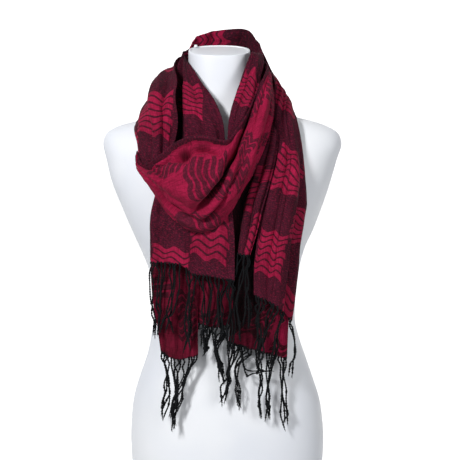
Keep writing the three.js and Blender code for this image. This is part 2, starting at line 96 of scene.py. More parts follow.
class Graph:
    """A material's node tree, with short calls for the nodes that the finishes share."""

    def __init__(self, name: str) -> None:
        """Start a material with an empty tree.

        Args:
            name: The material's name.
        """
        self.material = bpy.data.materials.new(name)
        self.material.use_nodes = True
        self.tree = self.material.node_tree
        self.tree.nodes.clear()

    def node(self, kind: str, **settings: object) -> bpy.types.Node:
        """Add a node.

        Args:
            kind: The node's type, such as ShaderNodeMath.
            **settings: Properties to set on it.

        Returns:
            The new node.
        """
        made = self.tree.nodes.new(kind)
        for key, value in settings.items():
            setattr(made, key, value)
        return made

    def feed(self, socket: bpy.types.NodeSocket, value: object) -> None:
        """Link a socket to a value that is a socket, or set it to one that is a constant.

        Args:
            socket: The input socket.
            value: A socket, a number or a colour.
        """
        if isinstance(value, bpy.types.NodeSocket):
            self.tree.links.new(value, socket)
        elif isinstance(value, tuple) and len(value) == 3 and len(socket.default_value) == 4:
            socket.default_value = (*value, 1.0)
        else:
            socket.default_value = value

    def math(self, operation: str, *values: object) -> bpy.types.NodeSocket:
        """Do arithmetic on sockets and numbers.

        Args:
            operation: The Math node's operation.
            *values: Its inputs, in order.

        Returns:
            The result's socket.
        """
        made = self.node("ShaderNodeMath", operation=operation)
        for place, value in enumerate(values):
            self.feed(made.inputs[place], value)
        return made.outputs[0]

    def blend(self, share: object, low: object, high: object) -> bpy.types.NodeSocket:
        """Mix two colours.

        Args:
            share: How much of the second colour shows, from 0 to 1.
            low: The colour at 0.
            high: The colour at 1.

        Returns:
            The mixed colour's socket.
        """
        made = self.node("ShaderNodeMix", data_type="RGBA")
        for name, value in (("Factor_Float", share), ("A_Color", low), ("B_Color", high)):
            socket = next(s for s in made.inputs if s.identifier == name)
            self.feed(socket, value)
        return next(s for s in made.outputs if s.identifier == "Result_Color")

    def ramp(self, value: object, low: float, high: float, start: float = 0.0,
             end: float = 1.0) -> bpy.types.NodeSocket:
        """Map a value smoothly onto another range, and hold it at both ends.

        Args:
            value: The value.
            low: The value that gives start.
            high: The value that gives end.
            start: The result at low and below.
            end: The result at high and above.

        Returns:
            The result's socket.
        """
        made = self.node("ShaderNodeMapRange", interpolation_type="SMOOTHSTEP")
        for place, given in enumerate((value, low, high, start, end)):
            self.feed(made.inputs[place], given)
        return made.outputs[0]

    def noise(self, place: object, scale: float, detail: float = 2.0,
              roughness: float = 0.5) -> bpy.types.NodeSocket:
        """Read a noise texture at a place.

        Args:
            place: The vector that it is read at.
            scale: Its scale.
            detail: Its detail.
            roughness: Its roughness.

        Returns:
            The socket of its value.
        """
        made = self.node("ShaderNodeTexNoise")
        self.feed(made.inputs["Vector"], place)
        made.inputs["Scale"].default_value = scale
        made.inputs["Detail"].default_value = detail
        made.inputs["Roughness"].default_value = roughness
        return made.outputs[0]

    def vector(self, across: object, along: object) -> bpy.types.NodeSocket:
        """Join two values into a flat vector.

        Args:
            across: The first value.
            along: The second value.

        Returns:
            The vector's socket.
        """
        made = self.node("ShaderNodeCombineXYZ")
        self.feed(made.inputs[0], across)
        self.feed(made.inputs[1], along)
        return made.outputs[0]

    def bump(self, height: object, strength: float, distance: float,
             normal: object = None) -> bpy.types.NodeSocket:
        """Raise a surface by a height map.

        Args:
            height: The height, from 0 to 1.
            strength: How strongly it shows.
            distance: The real height in metres that 1 stands for.
            normal: An earlier bump to add to.

        Returns:
            The normal's socket.
        """
        made = self.node("ShaderNodeBump")
        made.inputs["Strength"].default_value = strength
        made.inputs["Distance"].default_value = distance
        self.feed(made.inputs["Height"], height)
        if normal is not None:
            self.feed(made.inputs["Normal"], normal)
        return made.outputs[0]

    def finish(self, colour: object, roughness: object, normal: object = None,
               **constants: float) -> bpy.types.Material:
        """Close the tree with one shader.

        Args:
            colour: The base colour.
            roughness: The roughness.
            normal: The bumped normal, if any.
            **constants: Shader sockets set to one number, with _ for a space.

        Returns:
            The finished material.
        """
        shader = self.node("ShaderNodeBsdfPrincipled")
        output = self.node("ShaderNodeOutputMaterial")
        self.feed(shader.inputs["Base Color"], colour)
        self.feed(shader.inputs["Roughness"], roughness)
        if normal is not None:
            self.feed(shader.inputs["Normal"], normal)
        for name, value in constants.items():
            shader.inputs[name.replace("_", " ")].default_value = value
        self.tree.links.new(shader.outputs[0], output.inputs["Surface"])
        return self.material


@dataclass(frozen=True)
class WovenCloth:
    """The shawl's weave: waves in blocks, set like a draughtboard over a plain ground."""

    name: str = "woven"
    wine: Colour = from_screen(74, 23, 41)
    wine_deep: Colour = from_screen(36, 10, 20)
    crimson: Colour = from_screen(172, 28, 70)
    crimson_deep: Colour = from_screen(104, 12, 39)
    # painted shade: depth is the near-black colour painted onto cloth deep between folds
    depth: Colour = from_screen(9, 5, 7)  # between folds, where little light reaches
    column: float = 66.0  # a block's column across the cloth
    shift: float = 71.9  # how far along the next column's blocks lie
    pitch: float = 11.5  # from one wave to the next along the cloth
    waves_in_block: float = 7.0
    waves_in_repeat: float = 13.0
    wave_length: float = 33.0
    wave_height: float = 4.2
    lean: float = 0.27  # how far a crest moves across for each millimetre along
    thick_share: float = 0.71  # share of the pitch that is wave, the rest is the line between
    line_edge: float = 0.07  # share of the pitch over which a wave's edge fades
    skew: float = 0.3  # how far the crests lean out of a plain sine
    block_near: float = 8.0  # where a block begins in its column
    block_far: float = 67.0  # where it ends
    stagger: float = -1.4  # how much further across each wave lies than the one before
    ragged: float = 2.0  # how unevenly the waves of a block end
    specks: float = 0.3  # how strongly crimson threads show through wine
    figure_leak: float = 0.08  # how much crimson shows in the waves of the crimson face
    thread: float = 1.25

    def material(self, face: Face) -> bpy.types.Material:
        """Build the finish for one face of the cloth.

        Args:
            face: The face that shows.

        Returns:
            A material that reads the piece's own cloth coordinates, in metres across and along, and a
            second map that says where shade is painted, nearly black, deep between folds.
        """
        g = Graph(self.name + "_" + face.name.lower())
        place = g.node("ShaderNodeUVMap", uv_map="cloth")
        parts = g.node("ShaderNodeSeparateXYZ")
        g.feed(parts.inputs[0], place.outputs[0])
        across = g.math("MULTIPLY", parts.outputs[0], 1000.0)
        along = g.math("MULTIPLY", parts.outputs[1], 1000.0)
        mask = self.waves(g, across, along)

        shade = self.slubs(g, across, along)
        wine = g.blend(shade, self.wine_deep, self.wine)
        crimson = g.blend(shade, self.crimson_deep, self.crimson)
        speck = g.noise(g.vector(g.math("MULTIPLY", across, 0.5), along), 0.5, 3.0, 0.8)
        wine = g.blend(g.ramp(speck, 0.5, 0.62, 0.0, self.specks), wine, self.crimson)
        if face is Face.WINE:
            ground, figure = wine, crimson
        else:
            border = g.math("COMPARE", across, -BORDER / 2, BORDER / 2)
            ground = g.blend(border, crimson, wine)
            figure = g.blend(self.figure_leak, wine, self.crimson)
        # painted shade: the second map darkens the weave towards near black deep between folds
        painted_shade = g.node("ShaderNodeSeparateXYZ")
        g.feed(painted_shade.inputs[0], g.node("ShaderNodeUVMap", uv_map="painted_shade").outputs[0])
        colour = g.blend(painted_shade.outputs[0], g.blend(mask, ground, figure), self.depth)

        warp = g.math("SINE", g.math("MULTIPLY", across, 2 * math.pi / self.thread))
        weft = g.math("SINE", g.math("MULTIPLY", along, 2 * math.pi / (self.thread * 0.9)))
        weave = g.math("MULTIPLY", warp, weft)
        height = g.math("ADD", g.math("MULTIPLY", weave, 0.25), mask)
        normal = g.bump(height, 0.6, 0.0007)
        slub = g.noise(g.vector(across, g.math("MULTIPLY", along, 0.25)), 0.35, 2.0)
        normal = g.bump(slub, 0.22, 0.0012, normal)
        rough = g.ramp(mask, 0.0, 1.0, 0.85, 0.75)
        return g.finish(colour, rough, normal, Sheen_Weight=0.02, Sheen_Roughness=0.4,
                        Specular_IOR_Level=0.07)

    def slubs(self, g: Graph, across: object, along: object) -> bpy.types.NodeSocket:
        """Mix streaks of thread, flecks and broad clouds into one uneven shade.

        Args:
            g: The material's tree.
            across: The place across the cloth, in millimetres.
            along: The place along the cloth, in millimetres.

        Returns:
            The shade's socket, 0 where the thread is deepest and 1 where it is palest.
        """
        streak = g.noise(g.vector(across, g.math("MULTIPLY", along, 0.07)), 0.75, 3.0, 0.7)
        fleck = g.noise(g.vector(g.math("MULTIPLY", across, 0.16), along), 0.8, 2.0, 0.6)
        cloud = g.noise(g.vector(across, along), 0.018, 2.0)
        fine = g.math("ADD", g.math("MULTIPLY", streak, 0.6), g.math("MULTIPLY", fleck, 0.4))
        broad = g.math("MULTIPLY", g.math("SUBTRACT", cloud, 0.5), 0.35)
        return g.ramp(g.math("ADD", fine, broad), 0.3, 0.72)

    def waves(self, g: Graph, across: object, along: object) -> bpy.types.NodeSocket:
        """Chart the waves: 1 on a wave of a block, and 0 on the plain ground.

        Args:
            g: The material's tree.
            across: The place across the cloth, in millimetres.
            along: The place along the cloth, in millimetres.

        Returns:
            The mask's socket.
        """
        column = g.math("FLOOR", g.math("DIVIDE", across, self.column))
        inside = g.math("SUBTRACT", across, g.math("MULTIPLY", column, self.column))
        shifted = g.math("ADD", along, g.math("MULTIPLY", column, self.shift))
        turn = g.math("ADD", g.math("MULTIPLY", across, 2 * math.pi / self.wave_length),
                      g.math("MULTIPLY", along, 2 * math.pi * self.lean / self.wave_length))
        skew = g.math("MULTIPLY", g.math("SINE", turn), self.skew)
        crest = g.math("SINE", g.math("ADD", turn, skew))
        lifted = g.math("ADD", shifted, g.math("MULTIPLY", crest, self.wave_height))
        count = g.math("DIVIDE", lifted, self.pitch)
        number = g.math("FLOORED_MODULO", g.math("FLOOR", count), self.waves_in_repeat)
        phase = g.math("FRACT", count)
        rise = g.ramp(phase, 0.0, self.line_edge)
        fall = g.ramp(phase, self.thick_share, self.thick_share + self.line_edge, 1.0, 0.0)
        in_block = g.math("LESS_THAN", number, self.waves_in_block)
        ragged = g.math("MULTIPLY", g.math("SINE", g.math("MULTIPLY", number, 2.4)), self.ragged)
        step = g.math("ADD", g.math("MULTIPLY", number, self.stagger), ragged)
        reach = g.math("SUBTRACT", inside, step)
        left = g.ramp(reach, self.block_near, self.block_near + 1.0)
        right = g.ramp(reach, self.block_far, self.block_far + 1.0, 1.0, 0.0)
        on_cloth = g.ramp(across, 0.0, 1.0)
        mask = g.math("MULTIPLY", rise, fall)
        for share in (in_block, left, right, on_cloth):
            mask = g.math("MULTIPLY", mask, share)
        return mask


@dataclass(frozen=True)
class FringeYarn:
    """The fringe: black twisted yarn, dry and a little hairy."""

    black: Colour = from_screen(9, 10, 12)
    grey: Colour = from_screen(26, 28, 31)

    def material(self) -> bpy.types.Material:
        """Build the finish.

        Returns:
            A material that reads Object coordinates.
        """
        g = Graph("fringe_yarn")
        place = g.node("ShaderNodeTexCoord").outputs["Object"]
        hair = g.noise(place, 900.0, 3.0, 0.7)
        worn = g.noise(place, 60.0, 2.0)
        shade = g.ramp(g.math("ADD", hair, g.math("MULTIPLY", worn, 0.3)), 0.5, 0.95)
        colour = g.blend(shade, self.black, self.grey)
        normal = g.bump(hair, 0.5, 0.0004)
        return g.finish(colour, 0.9, normal, Specular_IOR_Level=0.12)


@dataclass(frozen=True)
class MouldedShell:
    """The dress form: smooth white moulded plastic with a satin surface."""

    white: Colour = from_screen(238, 240, 244)
    cool: Colour = from_screen(228, 231, 238)

    def material(self) -> bpy.types.Material:
        """Build the finish.

        Returns:
            A material that reads Object coordinates.
        """
        g = Graph("moulded_shell")
        place = g.node("ShaderNodeTexCoord").outputs["Object"]
        cloud = g.noise(place, 7.0, 2.0)
        grain = g.noise(place, 420.0, 3.0, 0.6)
        scuff = g.noise(place, 38.0, 4.0, 0.65)
        colour = g.blend(g.ramp(cloud, 0.35, 0.7), self.white, self.cool)
        rough = g.ramp(scuff, 0.3, 0.7, 0.4, 0.5)
        normal = g.bump(grain, 0.08, 0.0003)
        return g.finish(colour, rough, normal, Specular_IOR_Level=0.4, Coat_Weight=0.06,
                        Coat_Roughness=0.35)


@dataclass(frozen=True)
class Section:
    """One section of a ribbon of cloth, with the cloth's own place at its edges and its middle.

    near, belly and far are points in space. start, middle and end are how far across the cloth those
    lie from the woven border, and a middle of None lies halfway. lag and lead are how much further
    along the cloth the far and the near edge lie than the middle, where the cloth hangs askew.
    """

    near: Point
    belly: Point
    far: Point
    start: float
    end: float
    middle: float | None = None
    lag: float = 0.0
    lead: float = 0.0


@dataclass(frozen=True)
class Crease:
    """A soft trough or ridge along a ribbon.

    path holds pairs of row and place across, rows rising. width is a share of the ribbon's width and
    height is in millimetres, below zero for a trough. A higher edge makes its sides steeper.
    """

    path: tuple[tuple[float, float], ...]
    width: float
    height: float
    edge: float = 2.0

    def lift(self, rows: np.ndarray, across: np.ndarray) -> np.ndarray:
        """Give the height at each place.

        Args:
            rows: Rows, one for each line of the grid, as a column.
            across: Places across, as a row.

        Returns:
            Heights in millimetres.
        """
        places = np.array([p[0] for p in self.path])
        centre = np.interp(rows, places, np.array([p[1] for p in self.path]))
        share = np.clip((rows - places[0]) / (places[-1] - places[0]), 0, 1)
        fade = np.sin(np.pi * share) ** 0.6
        return self.height * fade * np.exp(-(np.abs(across - centre) / self.width) ** self.edge)


@dataclass(frozen=True)
class Flute:
    """A soft trough or ridge across a ribbon.

    It crosses the near edge at row, and the far edge lean rows further on. width is in rows and height
    in millimetres, below zero for a trough. It fades to nothing at first and last, places across.
    """

    row: float
    lean: float
    width: float
    height: float
    first: float = -0.2
    last: float = 1.2

    def lift(self, rows: np.ndarray, across: np.ndarray) -> np.ndarray:
        """Give the height at each place.

        Args:
            rows: Rows, as a column.
            across: Places across, as a row.

        Returns:
            Heights in millimetres.
        """
        share = np.clip((across - self.first) / (self.last - self.first), 0, 1)
        away = (rows - self.row - self.lean * across) / self.width
        return self.height * np.sin(np.pi * share) ** 0.7 * np.exp(-(away**2))


def stretch(before: np.ndarray, a: np.ndarray, b: np.ndarray, after: np.ndarray,
            u: np.ndarray) -> np.ndarray:
    """Run a smooth curve from a to b, and straight on past both.

    Args:
        before: The point before a.
        a: The point where u is 0.
        b: The point where u is 1.
        after: The point after b.
        u: Where on the curve each result lies.

    Returns:
        The points at u.
    """
    held = np.clip(u, 0, 1)
    curve = a + 0.5 * held * (b - before + held * (
        2 * before - 5 * a + 4 * b - after + held * (3 * (a - b) + after - before)))
    return curve + np.where(u < 0, (b - before) / 2, (after - a) / 2) * (u - held)


def through(points: np.ndarray, place: np.ndarray) -> np.ndarray:
    """Run a smooth curve through points, straight on past both ends.

    Args:
        points: The points, first axis first.
        place: Places, counted in points, in any shape.

    Returns:
        The curve's points, in the shape of the places and then of one point.
    """
    last = len(points) - 1
    first = np.clip(np.floor(place).astype(int), 0, last - 1)
    u = (place - first).reshape(place.shape + (1,) * (points.ndim - 1))
    longer = np.concatenate([[2 * points[0] - points[1]], points, [2 * points[-1] - points[-2]]])
    return stretch(*(longer[first + k] for k in range(4)), u)


def wander(across: np.ndarray, along: np.ndarray, seed: int) -> np.ndarray:
    """Give smooth uneven values between about -0.5 and 0.5, the same each time.

    Args:
        across: Places across.
        along: Places along.
        seed: Which set of values.

    Returns:
        A value for each place.
    """
    lattice = np.random.default_rng(seed).random((64, 64)) - 0.5
    first, second = np.floor(across).astype(int), np.floor(along).astype(int)
    u, v = across - first, along - second
    u, v = u * u * (3 - 2 * u), v * v * (3 - 2 * v)
    corner = [[lattice[(first + i) % 64, (second + j) % 64] for j in (0, 1)] for i in (0, 1)]
    low = corner[0][0] * (1 - u) + corner[1][0] * u
    high = corner[0][1] * (1 - u) + corner[1][1] * u
    return low * (1 - v) + high * v


def stand(shape: bmesh.types.BMesh, name: str) -> bpy.types.Object:
    """Turn a finished shape into an object at the origin.

    Args:
        shape: The shape, in metres, which is used up.
        name: The name of the object and of its mesh.

    Returns:
        The object, in the scene.
    """
    mesh = bpy.data.meshes.new(name)
    shape.to_mesh(mesh)
    shape.free()
    made = bpy.data.objects.new(name, mesh)
    bpy.context.scene.collection.objects.link(made)
    return made


def scatter(number: float, seed: float) -> float:
    """Give an even-handed share from 0 to 1 for a number, the same each time."""
    value = math.sin(number * 12.9898 + seed * 78.233) * 43758.5453
    return value - math.floor(value)


@dataclass
class Ribbon:
    """One stretch of the shawl, laid as a fine grid and given its folds and its thickness.

    outward is 1 or -1, and turns the face named here outwards. same_inside gives the inner face the
    same finish, where folds show it between them. stands_for names the frame's nodes whose place the
    ribbon takes, and rests_on names those that carry it, but it is not used. steps_along and
    steps_across are the grid's steps, and cloth is its thickness. ripple is how strongly thin cloth
    crumples. rim is how wide the woven border is where it shows. first_hem holds pairs of place across
    and rows, and says how far the hem is cut from the first section.

    start_along is the first row's place along the cloth, and ease adds to it, as pairs of row and
    millimetres, where small tucks take cloth up. bare holds pairs of row and the share of the width
    beside the near edge where the weave has no waves. hollows say where shade is painted onto the cloth
    deep between folds, nearly black, and their height is the share of painted black.
    """

    name: str
    sections: tuple[Section, ...]
    creases: tuple[Crease | Flute, ...]
    outward: int
    stands_for: tuple[str, ...]
    face: Face
    slot: str
    steps_along: int
    steps_across: int
    cloth: float = 1.5
    start_along: float = 0.0
    ease: tuple[tuple[float, float], ...] = ((0.0, 0.0),)
    bare: tuple[tuple[float, float], ...] = ((0.0, 0.0),)
    same_inside: bool = False
    ripple: float = 0.7
    rim: float = 0.0
    first_hem: tuple[tuple[float, float], ...] = ((0.0, 0.0),)
    painted_shade_hollows: tuple[Crease, ...] = ()
    rests_on: tuple[str, ...] = ("dress_form",)

    def plain(self, rows: np.ndarray, across: np.ndarray) -> np.ndarray:
        """Give the middle surface with no folds.

        Args:
            rows: Rows of the ribbon, a line of the grid on each line.
            across: Places across it, from 0 to 1, one for each column of rows.

        Returns:
            Points in millimetres, in the shape of the rows.
        """
        edges = np.array([[s.near, s.belly, s.far] for s in self.sections], float)
        near, belly, far = np.moveaxis(through(edges, rows), 2, 0)
        place = (across * 2)[None, :, None]
        half = place < 1
        before, a = np.where(half, 2 * near - belly, near), np.where(half, near, belly)
        b, after = np.where(half, belly, far), np.where(half, far, 2 * far - belly)
        return stretch(before, a, b, after, place - (place >= 1))

    def normals(self, rows: np.ndarray, across: np.ndarray) -> np.ndarray:
        """Give the outward unit normals of the plain surface.

        Args:
            rows: Rows of the ribbon, a line of the grid on each line.
            across: Places across it.

        Returns:
            Unit normals, in the shape of the rows.
        """
        step = 0.01
        forth = self.plain(rows + step, across) - self.plain(rows - step, across)
        aside = self.plain(rows, across + step) - self.plain(rows, across - step)
        normal = np.cross(forth, aside)
        return self.outward * normal / np.linalg.norm(normal, axis=2, keepdims=True)

    def folded(self, rows: np.ndarray, across: np.ndarray) -> np.ndarray:
        """Give the middle surface with its folds and the fine ripples of thin cloth.

        Args:
            rows: Rows of the ribbon, a line of the grid on each line.
            across: Places across it.

        Returns:
            Points in millimetres, in the shape of the rows.
        """
        over = across[None, :]
        height = self.ripples(rows, over)
        for crease in self.creases:
            height = height + crease.lift(rows, over)
        return self.plain(rows, across) + self.normals(rows, across) * height[..., None]

    def ripples(self, rows: np.ndarray, across: np.ndarray) -> np.ndarray:
        """Give the small uneven waves that thin cloth keeps.

        Args:
            rows: Rows of the ribbon.
            across: Places across it, as a row.

        Returns:
            Heights in millimetres.
        """
        seed = sum(map(ord, self.name)) % 89
        ways = 5 * across + 0 * rows
        # soft swells, and sharp ridges on them where the cloth crumples
        soft = wander(ways * 1.3, rows * 0.55, seed) + 0.6 * wander(ways * 2.6 + 7, rows * 0.8, seed + 1)
        crumple = 1 - np.abs(wander(ways * 2.1 - 0.5 * rows, rows * 0.9 + 3, seed + 2)) * 2.6
        fine = 1 - np.abs(wander(ways * 3.4 + 0.8 * rows, rows * 1.7 + 9, seed + 3)) * 2.8
        ridges = 1.1 * np.clip(crumple, 0, 1) ** 2 + 0.5 * np.clip(fine, 0, 1) ** 2
        return self.ripple * (2.4 * soft + ridges)

    def grid_rows(self, shares: np.ndarray, across: np.ndarray) -> np.ndarray:
        """Give each grid point's row, with the first hem cut to its own line.

        Args:
            shares: Shares of the way from the first hem to the last, one for each line of the grid.
            across: Places across the ribbon.

        Returns:
            A row for each point of the grid.
        """
        first = np.interp(across, *np.array(self.first_hem).T)
        last = len(self.sections) - 1.0
        return first[None, :] + shares[:, None] * (last - first)[None, :]

    def hem_row(self, at_end: bool, across: float) -> float:
        """Give the row at which one hem lies, at a place across the ribbon."""
        return float(self.grid_rows(np.array([1.0 if at_end else 0.0]), np.array([across]))[0, 0])

    def cloth_place(self, rows: np.ndarray, across: np.ndarray) -> tuple[np.ndarray, np.ndarray]:
        """Give each place's own coordinates on the cloth.

        Args:
            rows: Rows of the ribbon, a line of the grid on each line.
            across: Places across it.

        Returns:
            Metres across the cloth and metres along it.
        """
        marks = np.arange(len(self.sections))
        middles = [(s.start + s.end) / 2 if s.middle is None else s.middle for s in self.sections]
        start, middle, end = (np.interp(rows, marks, v) for v in (
            [s.start for s in self.sections], middles, [s.end for s in self.sections]))
        part = across[None, :] * 2
        over = np.where(part < 1, start + (middle - start) * part, middle + (end - middle) * (part - 1))
        if self.rim:
            # the woven border keeps its real width, measured on the surface from the near edge
            sections = self.plain(rows, across)
            steps = np.linalg.norm(np.diff(sections, axis=1), axis=2)
            gone = np.concatenate([np.zeros((len(rows), 1)), np.cumsum(steps, axis=1)], axis=1)
            over = np.where(gone < self.rim, gone - self.rim - 0.5, np.maximum(over, 0.1))
        # where the weave has no waves, places lie beyond the border, and their threads still run on
        bare = across[None, :] < np.interp(rows, *np.array(self.bare).T)
        over = np.where(bare & (over > 0), over - BARE, over)
        # along the cloth, places follow the length of the middle line
        fine = np.linspace(-1.0, len(self.sections), 600)[:, None]
        middle_line = self.plain(fine, np.array([0.5]))[:, 0]
        steps = np.linalg.norm(np.diff(middle_line, axis=0), axis=1)
        length = np.concatenate([[0.0], np.cumsum(steps)])
        length = length - np.interp(0.0, fine[:, 0], length)
        gone_along = np.interp(rows, fine[:, 0], length) + np.interp(rows, *np.array(self.ease).T)
        askew = np.interp(rows, marks, [s.lag for s in self.sections]) * np.clip(part - 1, 0, 1)
        askew = askew + np.interp(rows, marks, [s.lead for s in self.sections]) * np.clip(1 - part, 0, 1)
        return over * MM, (gone_along + self.start_along + askew) * MM

    def lay(self) -> bpy.types.Object:
        """Lay the grid on the folded surface.

        Returns:
            The piece, still one layer thick.
        """
        shape = bmesh.new()
        bmesh.ops.create_grid(shape, x_segments=self.steps_along, y_segments=self.steps_across, size=0.5)
        shape.verts.ensure_lookup_table()
        flat = np.round(np.array([v.co for v in shape.verts]) + 0.5, 6)
        shares, places = np.unique(flat[:, 0]), np.unique(flat[:, 1])
        at = np.searchsorted(shares, flat[:, 0]), np.searchsorted(places, flat[:, 1])
        rows = self.grid_rows(shares, places)
        surface = (self.folded(rows, places) * MM)[at]
        over, forth = self.cloth_place(rows, places)
        for vertex, point in zip(shape.verts, surface.tolist()):
            vertex.co = point
        bmesh.ops.recalc_face_normals(shape, faces=shape.faces)
        # the faces agree by now, so one of them tells whether all point outwards
        shape.faces.ensure_lookup_table()
        probe = shape.faces[len(shape.faces) // 2]
        outward = self.normals(rows, places)[at][probe.verts[0].index]
        if probe.normal.dot(Vector(outward.tolist())) < 0:
            bmesh.ops.reverse_faces(shape, faces=shape.faces)
        for face in shape.faces:
            face.smooth = True
        made = stand(shape, self.name)
        mesh = made.data
        corners = np.zeros(len(mesh.loops), np.int32)
        mesh.loops.foreach_get("vertex_index", corners)
        # painted shade: how nearly black the cloth is painted where it lies deep between folds
        dark = np.zeros(rows.shape)
        for painted_shade in self.painted_shade_hollows:
            dark = np.maximum(dark, painted_shade.lift(rows, places[None, :]))
        for name, first, second in (("cloth", over, forth), ("painted_shade", dark, dark)):
            values = np.stack([first[at], second[at]], 1)[corners]
            mesh.uv_layers.new(name=name).data.foreach_set("uv", values.astype(np.float32).ravel())
        return made

    def area(self, piece: bpy.types.Object) -> float:
        """Measure the area of the laid cloth, in square metres."""
        return sum(polygon.area for polygon in piece.data.polygons)

    def build(self, materials: dict[Face, bpy.types.Material]) -> bpy.types.Object:
        """Make the stretch, dress it and fix it to the frame.

        Args:
            materials: The finish of each face of the cloth.

        Returns:
            The finished piece.
        """
        piece = self.lay()
        other = Face.CRIMSON if self.face is Face.WINE else Face.WINE
        piece.data.materials.append(materials[self.face])
        piece.data.materials.append(materials[self.face if self.same_inside else other])
        wall = piece.modifiers.new("wall", "SOLIDIFY")
        wall.thickness = self.cloth * MM
        wall.offset = 0.0
        wall.material_offset = 1
        wall.material_offset_rim = 0
        wall.use_even_offset = False
        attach(piece, "root")
        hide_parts(*self.stands_for)
        return piece


def in_view(column: float, row: float) -> tuple[float, float]:
    """Turn a place in the photograph into x and z, for strands that hang in front of the form."""
    return PIXEL[0] * (column - VIEW_CENTRE[0]), VIEW_HEIGHT - PIXEL[1] * (row - VIEW_CENTRE[1])


@dataclass(frozen=True)
class Bundle:
    """Strands of a fringe that hang together and are caught in one tangle.

    first and last are places along the hem. meet and tip are columns and rows of the photograph,
    where the strands come together and where they end. spread and splay are how far apart they are
    at those two places, in millimetres.
    """

    first: float
    last: float
    count: int
    meet: tuple[float, float]
    tip: tuple[float, float]
    spread: float
    splay: float


